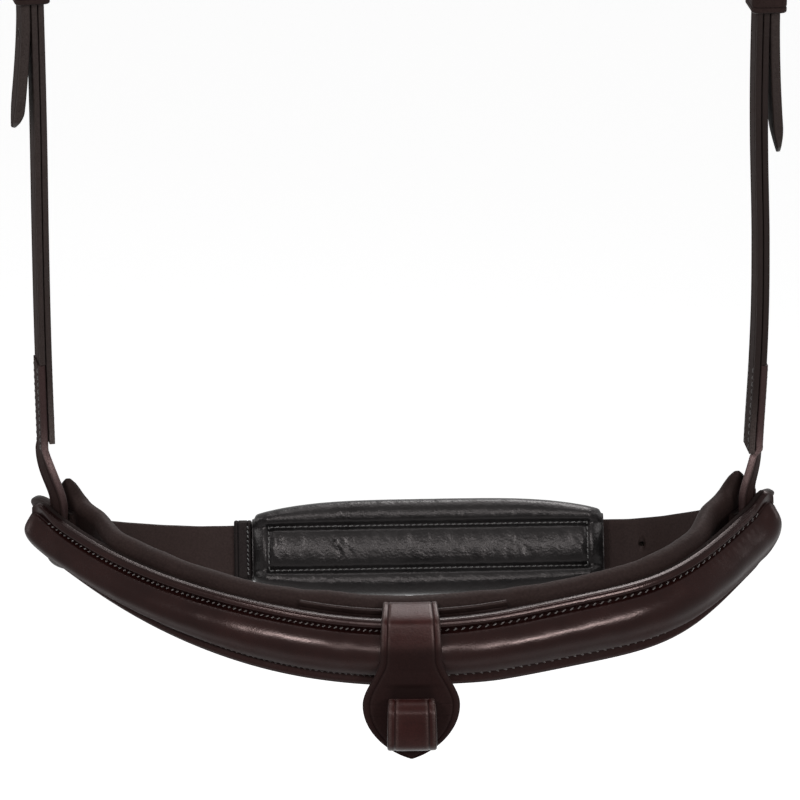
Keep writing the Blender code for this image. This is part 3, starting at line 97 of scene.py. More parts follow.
# Cheek straps, keepers, buckles and headpiece
CHEEK_WIDTH, CHEEK_LAYER, CHEEK_FOOT, CHEEK_LAP, CHEEK_BACK = 0.0130, 0.00205, 0.0330, 0.0330, -0.0020
BOW_HEIGHT, BOW_SPREAD, CHEEK_SETTLES = 0.098, 0.045, 0.060
# Each strap's edge lightening is partly wear and partly painted light, set stronger on the left strap.
CHEEKS = {"left": {"side": -1, "top": 0.0056, "bow": 0.0007, "foot": 0.0051, "twist": math.radians(13.0),
                   "lap_short": 0.0035, "turned": 0.80, "rub_and_side_light": 0.11, "tail": 0.0858, "flare": 0.0036,
                   "skive": 0.0062},
          "right": {"side": 1, "top": 0.0092, "bow": 0.0026, "foot": 0.0078, "twist": math.radians(5.0),
                    "lap_short": 0.0, "turned": 0.62, "rub_and_side_light": 0.02, "tail": 0.0952, "flare": 0.0024,
                    "skive": 0.0100}}
LOOP_NECK, LOOP_INSET, RISE_STEPS, LAP_STEPS = 0.0080, 0.0080, 18, 16
LAP_ROW, LAP_PITCH = 0.0042, 0.0026
KEEPER_HEIGHT, KEEPER_WALL, KEEPER_TRIM = 0.0115, 0.0017, 0.0024
CHEEK_BAR = 0.2380
FIXED_KEEPER = CHEEK_BAR - 0.0295
RUNNERS = {"left": FIXED_KEEPER - 0.0137, "right": FIXED_KEEPER - 0.0168}
BAR_RADIUS, BAR_PITCH, FRAME_CORNER, TONGUE_RADIUS, SLOT_WIDTH = 0.0015, 0.0155, 0.0025, 0.00095, 0.0032
RETURN_SLOPE, BILLET_THICK, HOLE_RADIUS, HOLE_PITCH = 0.014, 0.0033, 0.0016, 0.022
SKIVED_TIP = 0.34
ARCH_FOOT = CHEEK_BAR + BAR_PITCH + 0.0185
ARCH_RISE, CROWN_HALF, HEAD_STEP = 0.112, 0.010, 0.0022

X = np.array([1.0, 0.0, 0.0])
Z = np.array([0.0, 0.0, 1.0])
SHIFT = np.array([0.0, -CHEEK_BACK, -(ARCH_FOOT + ARCH_RISE - BILLET_THICK / 2)])


# Small maths, on numbers and arrays alike

def unit(v):
    return v / np.linalg.norm(v, axis=-1, keepdims=True)


def mix(a, b, t):
    return a + (b - a) * t


def smooth(x, low, high):
    t = np.clip((x - low) / (high - low), 0.0, 1.0)
    return t * t * (3.0 - 2.0 * t)


def bump(x, centre, spread):
    return np.exp(-((x - centre) / spread) ** 2)


def end_factor(distance, radius, least):
    """1 inside, falling in a round corner to least at the end."""
    inside = 1.0 - np.clip(distance / radius, 0.0, 1.0)
    return np.maximum(least, (1.0 - inside ** 3) ** (1.0 / 3.0))


def wander(x, y=0.0, seed=0.0):
    """A slow uneven wave between about -1 and 1."""
    return (np.sin(x + 1.3 * np.sin(0.61 * x + y + seed) + seed) * 0.55
            + np.sin(1.83 * x - 0.9 * y + 2.1 * seed) * 0.3 + np.sin(3.1 * x + 1.7 * y - seed) * 0.15)


def distances(rows):
    """How far along a line each of its points is."""
    return np.concatenate([[0.0], np.cumsum(np.linalg.norm(np.diff(rows, axis=0), axis=1))])


def tangents(rows, closed=False):
    rows = np.asarray(rows, float)
    if closed:
        return unit(np.roll(rows, -1, axis=0) - np.roll(rows, 1, axis=0))
    return unit(np.gradient(rows, axis=0, edge_order=1))


def left_normals(path, closed=False):
    along = tangents(path, closed)
    return np.stack([-along[:, 1], along[:, 0]], axis=1)


def divide(rows, longest):
    """The same broken line with its long steps divided."""
    rows = np.asarray(rows, float)
    out = [rows[:1]]
    for a, b in zip(rows, rows[1:]):
        count = max(1, math.ceil(np.linalg.norm(b[:3] - a[:3]) / longest))
        out.append(a + (b - a) * (np.arange(1, count + 1) / count)[:, None])
    return np.concatenate(out)


def cubic(u, start, end, start_slope, end_slope):
    return (start * (2 * u ** 3 - 3 * u ** 2 + 1) + end * (3 * u ** 2 - 2 * u ** 3)
            + start_slope * (u ** 3 - 2 * u ** 2 + u) + end_slope * (u ** 3 - u ** 2))


def curve(rows, step, closed=False, least=2):
    """A smooth line through rows; columns after the third are carried along."""
    rows = np.asarray(rows, float)
    if closed:
        rows = np.concatenate([rows, rows[:1]])
    length = np.maximum(np.linalg.norm(np.diff(rows[:, :3], axis=0), axis=1), 1e-9)[:, None]
    slope = np.diff(rows, axis=0) / length
    before, after = (np.roll(slope, 1, axis=0), slope) if closed else (slope[:-1], slope[1:])
    short, long = (np.roll(length, 1, axis=0), length) if closed else (length[:-1], length[1:])
    bend = (before * long + after * short) / (short + long)
    bend = np.concatenate([bend, bend[:1]] if closed else [slope[:1], bend, slope[-1:]])
    out = []
    for i, reach in enumerate(length[:, 0]):
        count = max(least, math.ceil(reach / step))
        out.append(cubic((np.arange(count) / count)[:, None], rows[i], rows[i + 1],
                         reach * bend[i], reach * bend[i + 1]))
    return np.concatenate(out if closed else out + [rows[-1:]])


def flat_curve(path, step, closed=False, least=2):
    """A smooth line through points of two columns."""
    return curve(np.column_stack([path, np.zeros(len(path))]), step, closed, least)[:, :2]


def hermite(start, end, start_dir, end_dir, steps):
    reach = np.linalg.norm(end - start)
    u = (np.arange(1, steps + 1) / steps)[:, None]
    return list(cubic(u, start, end, start_dir * reach, end_dir * reach))


def arc(centre, radius, start, end, steps):
    angles = np.linspace(start, end, steps + 1)
    return [(centre[0] + radius * math.cos(a), centre[1] + radius * math.sin(a)) for a in angles]


def rounded_rectangle(low, high, radius, steps=6):
    corners = ((high[0], low[1], -90), (high[0], high[1], 0), (low[0], high[1], 90), (low[0], low[1], 180))
    outline = []
    for a, b, start in corners:
        centre = (a - math.copysign(radius, a - (low[0] + high[0]) / 2),
                  b - math.copysign(radius, b - (low[1] + high[1]) / 2))
        outline += arc(centre, radius, math.radians(start), math.radians(start + 90), steps)
    return outline


# Meshes

def add_object(name, points, faces, material, body, marks=None, sharp=48.0):
    """A mesh object from points in the noseband's frame, riding on the body if there is one."""
    mesh = bpy.data.meshes.new(name)
    mesh.from_pydata((np.asarray(points, float) + SHIFT).tolist(), [], faces)
    for key, values in (marks or {}).items():
        layer = mesh.attributes.new(key, "FLOAT", "POINT")
        layer.data.foreach_set("value", np.asarray(values, np.float32).ravel())
    mesh.materials.append(material)
    mesh.shade_smooth()
    mesh.set_sharp_from_angle(angle=math.radians(sharp))
    obj = bpy.data.objects.new(name, mesh)
    bpy.context.scene.collection.objects.link(obj)
    if body:
        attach(obj, body)
    for slot, materials in SLOTS.items():
        material in materials
    return obj


def grid(name, rings, material, body, closed=False, marks=None):
    """A tube of quads through rings (rows, columns, 3), with a face over each end unless it closes."""
    rows, cols = rings.shape[:2]
    r = np.arange(rows if closed else rows - 1)[:, None]
    c = np.arange(cols)[None, :]
    far, side = (r + 1) % rows, (c + 1) % cols
    quads = np.stack([r * cols + c, r * cols + side, far * cols + side, far * cols + c], axis=2)
    quads = quads.reshape(-1, 4)
    flat = rings.reshape(-1, 3)
    a, b, d = flat[quads[:, 0]], flat[quads[:, 1]], flat[quads[:, 3]]
    inward = np.einsum("ij,ij->i", a - flat.mean(axis=0), np.cross(b - a, d - a)).sum() < 0
    if inward:
        quads = quads[:, ::-1]
    faces = quads.tolist()
    if not closed:
        near = list(range(cols))
        last = list(range((rows - 1) * cols, rows * cols))
        faces += [near, last[::-1]] if inward else [near[::-1], last]
    return add_object(name, flat, faces, material, body, marks)


CREASE, CREASE_DEPTH, EDGE_WAVE = 0.0022, 0.00026, 0.006
EDGE_STEPS = np.array([[0.0009, 0.0015, 0.0018, 0.0020, 0.0022, 0.0024, 0.0027, 0.0034]])
QUARTER = np.linspace(0.0, math.pi / 2, 5)[None, :]
EDGE_ROUND, KEEPER_STEP, ROD_STEP, ROD_SIDES = 0.0007, 0.0006, 0.0008, 16


def strap_section(widths, thick, crease=1.0, round_edge=EDGE_ROUND):
    """Rounded sections for a strap's widths: a across, b outward, and where the edge and crease are."""
    w, t = np.atleast_1d(widths)[:, None] / 2, thick / 2
    r = np.minimum(np.minimum(round_edge, 0.92 * t), 0.6 * w)
    inward = EDGE_STEPS * np.minimum(1.0, w / 0.0048)
    dip = crease * CREASE_DEPTH * bump(EDGE_STEPS, CREASE, 0.00024) * np.minimum(1.0, w / 0.003)
    parts = [(w - r + r * np.sin(QUARTER), -t + r - r * np.cos(QUARTER), 0.35 + 0.65 * np.sin(QUARTER), 0.0),
             (w - r + r * np.cos(QUARTER), t - r + r * np.sin(QUARTER), np.cos(QUARTER) ** 0.5, 0.0),
             (w - inward, t - dip, 0.5 * bump(EDGE_STEPS, 0, 0.0008),
              crease * bump(EDGE_STEPS, CREASE, 0.0002)),
             ((w - inward[:, -1:]) * np.linspace(0.75, -0.75, 7), t, 0.0, 0.0),
             ((w - r) * np.linspace(-0.8, 0.8, 5), -t, 0.25, 0.0)]
    *side, top, under = [np.broadcast_arrays(*part) for part in parts]
    mirrored = [[-a[:, ::-1], *(v[:, ::-1] for v in others)] for a, *others in side[::-1]]
    return [np.concatenate(columns, axis=1) for columns in zip(*side, top, *mirrored, under)]


def sweep(name, points, normals, widths, thick, material, body, closed=False, step=0.0015, crease=1.0,
          round_edge=EDGE_ROUND, wear_and_painted_light=None, matt=0.0):
    """A leather strap along points; normals point to its grain side."""
    sizes = [np.broadcast_to(np.asarray(size, float), (len(points),)) for size in (widths, thick)]
    rows = curve(np.column_stack([points, normals, *sizes]), step, closed)
    line = rows[:, :3]
    along = tangents(line, closed)
    up = unit(rows[:, 3:6] - along * np.sum(rows[:, 3:6] * along, axis=1, keepdims=True))
    across = np.cross(along, up)
    a, b, edge, groove = strap_section(rows[:, 6], rows[:, 7:8], crease, round_edge)
    far = distances(line)
    if not closed:
        a = a * (1 + EDGE_WAVE * wander(far * 260, 0.0, len(name))[:, None])
    rings = line[:, None] + across[:, None] * a[..., None] + up[:, None] * b[..., None]
    marks = {"edge": edge, "groove": groove}
    # Lighter edges: partly wear, partly painted light and painted highlights.
    if wear_and_painted_light:
        marks["wear_and_painted_highlight"] = wear_and_painted_light((far / far[-1])[:, None]) * edge
    if matt:
        marks["dull"] = matt * (1.0 - edge)
    return grid(name, rings, material, body, closed, marks)


def away_from_middle(normals, points):
    """The normals of a closed line, turned round if they point into it."""
    return normals * np.sign(np.sum(normals * (points - points.mean(axis=0)), axis=1).sum())


def ring_strap(name, points, axis, width, wall, material, body, matt=0.0):
    """A keeper: a closed loop of strap round an axis."""
    points = divide(list(points) + [points[0]], 0.0015)[:-1]
    normals = away_from_middle(np.cross(tangents(points, closed=True), axis), points)
    return sweep(name, points, normals, width, wall, material, body, True, KEEPER_STEP, matt=matt)


def keeper_line(inner, outer, width, wall, corner):
    """A keeper's middle line in t and w, clear of what it holds."""
    clear = SLIDE_GAP + wall / 2
    return rounded_rectangle((inner - clear, -width / 2 - clear), (outer + clear, width / 2 + clear), corner)


def rod(name, points, radius, body, reference, closed=False):
    """A round steel rod along points in a plane whose normal is the reference."""
    rows = curve(points, ROD_STEP, closed)
    first = np.cross(tangents(rows, closed), reference)
    angles = 2 * math.pi * np.arange(ROD_SIDES) / ROD_SIDES
    circle = first[:, None] * np.cos(angles)[None, :, None] + reference * np.sin(angles)[None, :, None]
    return grid(name, rows[:, None] + radius * circle, STEEL, body, closed)


STITCH_SHARES = np.array([-1.0, -0.93, -0.7, -0.3, 0.3, 0.7, 0.93, 1.0])
STITCH_THIN = np.array([0.35, 0.7, 0.95, 1.0, 1.0, 0.95, 0.7, 0.35])
STITCH_SIDES, THREAD_RADIUS = 6, 0.00026
CUT_TRIES, CUT_NUDGE = 5, 0.000013


def stitch_row(name, centres, alongs, ups, material, body, length, radius, slant, sink=0.3):
    """Sewn thread: one short slanted stitch at each centre, its two ends going down into the leather."""
    centres = np.asarray(centres, float)
    alongs, ups = (np.broadcast_to(np.asarray(v, float), centres.shape) for v in (alongs, ups))
    angle = math.radians(slant)
    lean = alongs * math.cos(angle) + np.cross(ups, alongs) * math.sin(angle)
    across = np.cross(ups, lean)
    lift = radius * (1.0 - sink - 1.5 * STITCH_SHARES ** 4)
    around = 2 * math.pi * (np.arange(STITCH_SIDES) + 0.5) / STITCH_SIDES
    jitter = 1 + 0.06 * np.sin(np.arange(len(centres)) * 2.399)
    reach = (np.broadcast_to(length, (len(centres),)) * jitter / 2)[:, None, None]
    spine = (centres[:, None] + lean[:, None] * STITCH_SHARES[None, :, None] * reach
             + ups[:, None] * lift[None, :, None])
    ring = (across[:, None, None] * np.cos(around)[None, None, :, None]
            + ups[:, None, None] * np.sin(around)[None, None, :, None])
    points = spine[:, :, None] + ring * (radius * STITCH_THIN)[None, :, None, None]
    sides, size = STITCH_SIDES, STITCH_SIDES * len(STITCH_SHARES)
    faces = []
    for base in range(0, size * len(centres), size):
        faces += [(here + j, here + sides + j, here + sides + (j + 1) % sides, here + (j + 1) % sides)
                  for here in range(base, base + size - sides, sides) for j in range(sides)]
        faces += [range(base, base + sides), range(base + size - 1, base + size - sides - 1, -1)]
    return add_object(name, points.reshape(-1, 3), faces, material, body, sharp=80.0)


def punch(target, centre, along, normal, length, width, depth=0.006):
    """A round or oval hole through a strap."""
    across = np.cross(normal, along)
    reach = max(0.0, (length - width) / 2)
    outline = [(x + reach, y) for x, y in arc((0, 0), width / 2, -math.pi / 2, math.pi / 2, 10)]
    outline += [(x - reach, y) for x, y in arc((0, 0), width / 2, math.pi / 2, 3 * math.pi / 2, 10)]
    outline = [p for k, p in enumerate(outline) if math.dist(p, outline[k - 1]) > 1e-7]
    cut(target, np.array([[centre + along * x + across * y + normal * z for x, y in outline]
                          for z in (-depth, depth)]))


def cut(target, rings):
    """Cut a closed form out of a strap; a cut that fails is made again with the form moved by a hair."""
    box = np.array(target.bound_box)
    low, high = box.min(axis=0) - 1e-6, box.max(axis=0) + 1e-6
    for attempt in range(CUT_TRIES):
        cutter = grid("cutter", rings + CUT_NUDGE * attempt, RAW, None)
        modifier = target.modifiers.new("hole", "BOOLEAN")
        modifier.operation, modifier.solver, modifier.material_mode = "DIFFERENCE", "EXACT", "TRANSFER"
        modifier.object = cutter
        made = bpy.data.meshes.new_from_object(target.evaluated_get(bpy.context.evaluated_depsgraph_get()))
        target.modifiers.clear()
        bpy.data.objects.remove(cutter)
        places = np.empty(3 * len(made.vertices), np.float32)
        made.vertices.foreach_get("co", places)
        places = places.reshape(-1, 3)
        if np.all(places.min(axis=0) > low) and np.all(places.max(axis=0) < high):
            whole, target.data = target.data, made
            bpy.data.meshes.remove(whole)
            return
        bpy.data.meshes.remove(made)


# Materials

def add_node(tree, kind, values=None, **settings):
    node = tree.nodes.new(kind)
    for key, value in settings.items():
        setattr(node, key, value)
    for key, value in (values or {}).items():
        feed(tree, node.inputs[key], value)
    return node


def feed(tree, socket, value):
    """Link a socket to another, or set its value; a bare colour gets its alpha."""
    if isinstance(value, bpy.types.NodeSocket):
        tree.links.new(value, socket)
    elif socket.type == "RGBA" and len(value) == 3:
        socket.default_value = (*value, 1.0)
    else:
        socket.default_value = value


def new_material(name):
    material = bpy.data.materials.new(name)
    material.use_nodes = True
    return material, material.node_tree, material.node_tree.nodes["Principled BSDF"]


def object_place(tree):
    return add_node(tree, "ShaderNodeTexCoord").outputs["Object"]


def noise(tree, where, scale, detail=3.0, rough=0.55):
    return add_node(tree, "ShaderNodeTexNoise", {"Vector": where, "Scale": scale, "Detail": detail,
                                                 "Roughness": rough}).outputs["Fac"]


def remap(tree, value, low, high, to_low=0.0, to_high=1.0):
    return add_node(tree, "ShaderNodeMapRange", {"Value": value, "From Min": low, "From Max": high,
                                                 "To Min": to_low, "To Max": to_high}).outputs["Result"]


def blend_colour(tree, factor, a, b, mode="MIX"):
    return add_node(tree, "ShaderNodeMix", {0: factor, 6: a, 7: b}, data_type="RGBA",
                    blend_type=mode).outputs[2]


def combine(tree, operation, a, b):
    return add_node(tree, "ShaderNodeMath", {0: a, 1: b}, operation=operation).outputs[0]


def mark(tree, name):
    return add_node(tree, "ShaderNodeAttribute", attribute_name=name).outputs["Fac"]


def dress(tree, shader, colour, roughness, height, strength, distance, others):
    """Give a shader its colour, its roughness, its relief and its other values."""
    relief = add_node(tree, "ShaderNodeBump", {"Height": height, "Strength": strength, "Distance": distance})
    for key, value in {"Base Color": colour, "Roughness": roughness, "Normal": relief.outputs["Normal"],
                       **others}.items():
        feed(tree, shader.inputs[key], value)


def leather(name, dark, light, edge, rough, depth, specular, grain=1500.0, wear_and_painted_highlight=(0.13, 0.105, 0.098),
            tint=(1.0, 0.76, 0.73)):
    """Finished leather: mottled colour, pores, fine creases, painted edges, places of wear with painted
    highlights, and painted shade in its hollows.
    """
    material, tree, shader = new_material(name)
    where = object_place(tree)

    def times(a, b):
        return combine(tree, "MULTIPLY", a, b)

    def plus(a, b):
        return combine(tree, "ADD", a, b)

    patches = noise(tree, where, 60.0, 4.0, 0.6)
    specks = noise(tree, where, grain * 1.9, 2.0)
    cells = add_node(tree, "ShaderNodeTexVoronoi", {"Vector": where, "Scale": grain, "Randomness": 1.0},
                     feature="SMOOTH_F1").outputs["Distance"]
    tone = plus(times(patches, 0.75), times(specks, 0.35))
    colour = blend_colour(tree, remap(tree, tone, 0.30, 0.78), dark, light)
    pores = times(remap(tree, cells, 0.25, 0.75), 0.45)
    colour = blend_colour(tree, pores, colour, (0.35, 0.33, 0.33), "MULTIPLY")
    # Edge paint; on the flash tab the edge mark also carries painted shade.
    colour = blend_colour(tree, times(mark(tree, "edge"), 0.85), colour, edge)
    # Painted shade: the groove mark darkens the lining's wrinkles, the pad's deeper folds, the face's stitch
    # pits and rows and the hollow on the flash tab; it also darkens crease lines and seams.
    colour = blend_colour(tree, times(mark(tree, "groove"), 0.8), colour, tuple(0.25 * c for c in dark))
    # Lighter where the wear mark is set: partly wear on the edges, partly painted highlights and painted
    # light.
    rub_and_highlight = times(mark(tree, "wear_and_painted_highlight"), remap(tree, specks, 0.35, 0.6, 0.25, 1.0))
    colour = blend_colour(tree, rub_and_highlight, colour, wear_and_painted_highlight)
    uneven = remap(tree, plus(patches, times(cells, 0.4)), 0.35, 0.95, rough - 0.06, rough + 0.10)
    wrinkles = noise(tree, where, grain * 0.22, 3.0, 0.6)
    height = plus(plus(times(cells, -0.6), times(specks, 0.25)), times(wrinkles, 0.7))
    dress(tree, shader, colour, plus(uneven, times(mark(tree, "dull"), 0.55)), height, depth, 0.00025,
          {"Specular IOR Level": specular, "Specular Tint": tint})
    return material


def raw_leather(name, dark, light):
    """Cut leather inside holes and slots, or cord: fibrous and dull."""
    material, tree, shader = new_material(name)
    fibres = noise(tree, object_place(tree), 5200.0, 4.0, 0.7)
    dress(tree, shader, blend_colour(tree, fibres, dark, light), remap(tree, fibres, 0.3, 0.7, 0.75, 0.95),
          fibres, 0.6, 0.0002, {"Specular IOR Level": 0.15})
    return material


def thread(name, dark, light):
    """Waxed linen thread with its twist."""
    material, tree, shader = new_material(name)
    where = object_place(tree)
    twist = add_node(tree, "ShaderNodeTexWave", {"Vector": where, "Scale": 900.0, "Distortion": 2.0},
                     bands_direction="DIAGONAL").outputs["Fac"]
    fuzz = noise(tree, where, 4000.0, 3.0, 0.7)
    tone = remap(tree, combine(tree, "MULTIPLY", twist, fuzz), 0.05, 0.5)
    dress(tree, shader, blend_colour(tree, tone, dark, light), remap(tree, fuzz, 0.3, 0.7, 0.55, 0.8),
          twist, 0.5, 0.0001, {"Sheen Weight": 0.3})
    return material


def steel(name):
    """Polished stainless steel with faint handling marks."""
    material, tree, shader = new_material(name)
    where = object_place(tree)
    marks = noise(tree, where, 900.0, 4.0, 0.6)
    haze = noise(tree, where, 120.0, 3.0, 0.6)
    dress(tree, shader, blend_colour(tree, haze, (0.50, 0.49, 0.47), (0.66, 0.65, 0.63)),
          remap(tree, combine(tree, "ADD", marks, haze), 0.6, 1.4, 0.14, 0.32), marks, 0.08, 0.0001,
          {"Metallic": 1.0})
    return material


# Leathers: dark, light and edge colours, then roughness, depth of the grain and specular level
BROWN = leather("brown_bridle_leather", (0.0036, 0.0008, 0.0007), (0.0095, 0.0024, 0.0020),
                (0.004, 0.0016, 0.0015), 0.21, 0.14, 0.17)
STRAP = leather("strap_leather", (0.0062, 0.0033, 0.0029), (0.0150, 0.0090, 0.0080),
                (0.0025, 0.0017, 0.0016), 0.38, 0.40, 0.13)
RED_BROWN = leather("red_brown_leather", (0.0095, 0.0024, 0.0021), (0.021, 0.0060, 0.0054),
                    (0.004, 0.002, 0.0019), 0.30, 0.22, 0.10)
LINING = leather("soft_lining_leather", (0.0045, 0.0023, 0.0020), (0.012, 0.0070, 0.0062),
                 (0.003, 0.0022, 0.002), 0.38, 0.6, 0.11, grain=1200.0)
BLACK = leather("soft_black_leather", (0.0022, 0.0020, 0.0021), (0.0080, 0.0073, 0.0074),
                (0.0012, 0.0011, 0.0011), 0.30, 0.6, 0.17, grain=1100.0, tint=(1.0, 0.92, 0.91))
CHEEK_LEATHER = leather("cheek_strap_leather", (0.0058, 0.0033, 0.0029), (0.0150, 0.0092, 0.0082),
                        (0.0060, 0.0044, 0.0040), 0.40, 0.55, 0.11)
# The hanger loop's last colour serves both its wear and its painted highlight.
LOOP_LEATHER = leather("hanger_loop_leather", (0.0058, 0.0028, 0.0025), (0.0150, 0.0075, 0.0068),
                       (0.0150, 0.0080, 0.0078), 0.34, 0.50, 0.10, wear_and_painted_highlight=(0.170, 0.115, 0.112))
RAW = raw_leather("cut_leather", (0.004, 0.0025, 0.002), (0.014, 0.009, 0.007))
BLACK_STRAP = leather("black_strap_leather", (0.0016, 0.0015, 0.0016), (0.0060, 0.0055, 0.0056),
                      (0.0030, 0.0028, 0.0028), 0.62, 0.5, 0.10)
THREAD = thread("brown_thread", (0.008, 0.0055, 0.005), (0.070, 0.054, 0.049))
LAP_THREAD = thread("lap_thread", (0.004, 0.003, 0.003), (0.034, 0.026, 0.024))
DARK_THREAD = thread("dark_thread", (0.008, 0.0075, 0.0075), (0.085, 0.080, 0.078))
STEEL = steel("stainless_steel")
SLOTS = {"brown_leather": (BROWN, STRAP, CHEEK_LEATHER, LOOP_LEATHER), "red_brown_leather": (RED_BROWN,),
         "lining_leather": (LINING,), "black_leather": (BLACK, BLACK_STRAP), "steel": (STEEL,)}


# The noseband's own coordinates: s along, n outward, h up the face

IN_PLANE = math.hypot(DEPTH, DROP)
FORWARD = np.array([0.0, -DEPTH, -DROP]) / IN_PLANE
PLANE_UP = np.cross(X, -FORWARD)
FULL_FROM = 0.22


def by_side(s, key):
    return np.where(np.asarray(s) > 0, RIGHT[key], LEFT[key])


def line_point(x):
    x = np.asarray(x, float)
    share = np.abs(x) / REACH
    along = np.clip((share - FULL_FROM) / (1 - FULL_FROM), 0.0, 1.0)
    reach = 1 - share ** 2 + by_side(x, "fullness") * np.sin(math.pi * along ** 1.6) ** 2
    rise = by_side(x, "rise") * share ** 5
    return x[..., None] * X + (IN_PLANE * reach)[..., None] * FORWARD + rise[..., None] * Z


LINE_X = np.linspace(-1.1 * REACH, 1.1 * REACH, 2401)
LINE_S = distances(line_point(LINE_X))
LINE_S -= LINE_S[1200]
LEFT_END = -float(np.interp(-REACH, LINE_X, LINE_S))
RIGHT_END = float(np.interp(REACH, LINE_X, LINE_S))


def band_end(s):
    return np.where(np.asarray(s) > 0, RIGHT_END, LEFT_END)


def to_end(s):
    return band_end(s) - np.abs(s)


def band_frame(s):
    """A place on the band's middle line, and its directions along, outward and upward."""
    x = np.interp(s, LINE_S, LINE_X)
    along = unit(line_point(x + 0.0005) - line_point(x - 0.0005))
    lean = (LEAN * (1 - smooth(np.abs(s), LEAN_FROM, band_end(s))))[..., None]
    away = unit(np.cross(along, PLANE_UP))
    upright = np.cross(away, along)
    return (line_point(x), along, away * np.cos(lean) + upright * np.sin(lean),
            upright * np.cos(lean) - away * np.sin(lean))


def band_point(s, n, h):
    """The place at s, n and h; the band's last centimetre turns up a little more than its flat pattern."""
    h = h + by_side(s, "lift") * smooth(to_end(s), LIFT_FROM, 0.0)
    s, n, h = np.broadcast_arrays(np.asarray(s, float), n, h)
    point, _, outward, upward = band_frame(s)
    return point + outward * n[..., None] + upward * h[..., None]


def band_places(short, step):
    """Places along the band, closer together near both ends."""
    left, right = -LEFT_END + short, RIGHT_END - short
    fine = np.array([0.0, 0.0002, 0.0005, 0.0009, 0.0014, 0.0020, 0.0027, 0.0036, 0.0047, 0.0060])
    count = math.ceil((right - left - 2 * fine[-1]) / step)
    return np.concatenate([left + fine[:-1], np.linspace(left + fine[-1], right - fine[-1], count + 1),
                           (right - fine[:-1])[::-1]])


def full_height(s):
    return mix(FACE_HEIGHT, by_side(s, "height"), smooth(np.abs(s) / band_end(s), 0.2, 0.9))


def half_height(s):
    return full_height(s) / 2 * end_factor(to_end(s), END_ROUND, END_LEAST)


def bulge_half(s):
    half = half_height(s)
    return half - np.minimum(FLANGE, 0.45 * half)


STITCH_PLACES = np.concatenate([
    -np.arange(LEFT["pitch"] / 2, LEFT_END - LEFT["unsewn"], LEFT["pitch"])[::-1],
    np.arange(RIGHT["pitch"] / 2, RIGHT_END - RIGHT["unsewn"], RIGHT["pitch"])])


def stitch_height(s):
    """How far above and below the middle the two rows are sewn."""
    return bulge_half(s) + 0.00045


def settled(s, h):
    """Heights on the face: its top corners are fuller, and its right half hangs a little lower."""
    top = end_factor(to_end(s), 0.6 * END_ROUND, 0.70) / end_factor(to_end(s), END_ROUND, END_LEAST)
    low = 1 + 0.07 * smooth(s, 0.012, 0.035) * smooth(to_end(s), 0.002, 0.012)
    return h * np.where(h > 0, top, low)


FLANGE_SHARES = np.array([[0.16, 0.22, 0.28, 0.34, 0.42, 0.55, 0.66, 0.74, 0.80, 0.86, 0.92, 0.97]])
FLANGE_CORNER = 0.00055


def make_face():
    """The raised front: a bulge between two flanges, each with a lip, a hollow and a row of stitch pits."""
    s = band_places(0.0, 0.00066)[:, None]
    half, inner, row = half_height(s), bulge_half(s), stitch_height(s)
    rise = BULGE_RISE * end_factor(to_end(s), 1.3 * END_ROUND, 0.25)
    flat = np.ones_like(s)

    def bulge(reach, start, end, steps):
        turn = np.linspace(start, end, steps)[None, :]
        high = rise * np.maximum(0.0, np.cos(math.pi / 2 * np.cos(turn))) ** BULGE_FULLNESS
        return reach * np.cos(turn), high

    h_bulge, n_bulge = bulge(inner, 0.0, math.pi, 45)
    h_under, n_under = bulge(inner - 0.6 * FACE_THICK, math.pi, 0.0, 17)
    lip = (0.00022 * bump(FLANGE_SHARES, 0.93, 0.09)
           - 0.00085 * bump(FLANGE_SHARES, 0.44, 0.26) * smooth(to_end(s), 0.004, 0.016))
    h_top = [half - FLANGE_CORNER + FLANGE_CORNER * np.cos(QUARTER), half - (half - inner) * FLANGE_SHARES]
    n_top = [FACE_THICK - FLANGE_CORNER + FLANGE_CORNER * np.sin(QUARTER) * flat, FACE_THICK - lip * flat]
    h = np.concatenate(h_top + [h_bulge] + [-v[:, ::-1] for v in h_top[::-1]]
                       + [-half, h_under, half], axis=1)
    n = np.concatenate(n_top + [FACE_THICK + n_bulge] + [v[:, ::-1] for v in n_top[::-1]]
                       + [0 * flat, n_under, 0 * flat], axis=1)
    front = n > 0.9 * FACE_THICK
    from_row = np.minimum(np.abs(h - row), np.abs(h + row))
    pitch = by_side(s, "pitch")
    phase = (np.abs(s) / pitch) % 1.0 - 0.5
    sewn = front * (s > STITCH_PLACES[0] - 0.0014) * (s < STITCH_PLACES[-1] + 0.0014)
    pit = bump(np.abs(phase) * pitch, 0.5 * pitch, 0.00040) * bump(from_row, 0.0, 0.00045) * sewn
    pulled = np.cos(2 * math.pi * phase) * bump(from_row, 0.0, 0.0016) * sewn
    n = n - PIT_DEPTH * pit - PULL_DEPTH * pulled
    n = n + FACE_WAVE * wander(s * 240, h * 320, 2.0) * (np.abs(h) < inner) * front
    # Painted shade in the stitch pits and along the stitch rows.
    marks = {"edge": bump(np.abs(h), half, 0.0006) + 0.6 * (n < 0.5 * FACE_THICK),
             "groove": np.maximum(pit, 0.5 * bump(from_row, 0.0, 0.00035) * front),
             "dull": np.maximum(1 - smooth(h, -0.45 * inner, 0.05 * inner),
                                smooth(to_end(s), 0.0045, 0.0010))}
    return grid("face_leather", band_point(s, n, settled(s, h)), BROWN, "noseband", marks=marks)


def make_face_stitches():
    s = STITCH_PLACES
    _, along, outward, upward = band_frame(s)
    for name, sign in (("upper", 1), ("lower", -1)):
        centres = band_point(s, FACE_THICK - 0.00005, settled(s, sign * stitch_height(s)))
        stitch_row(f"face_stitches_{name}", centres, along, unit(outward + 0.25 * sign * upward), THREAD,
                   "noseband", length=by_side(s, "stitch"), radius=0.00022, slant=34.0 * sign)


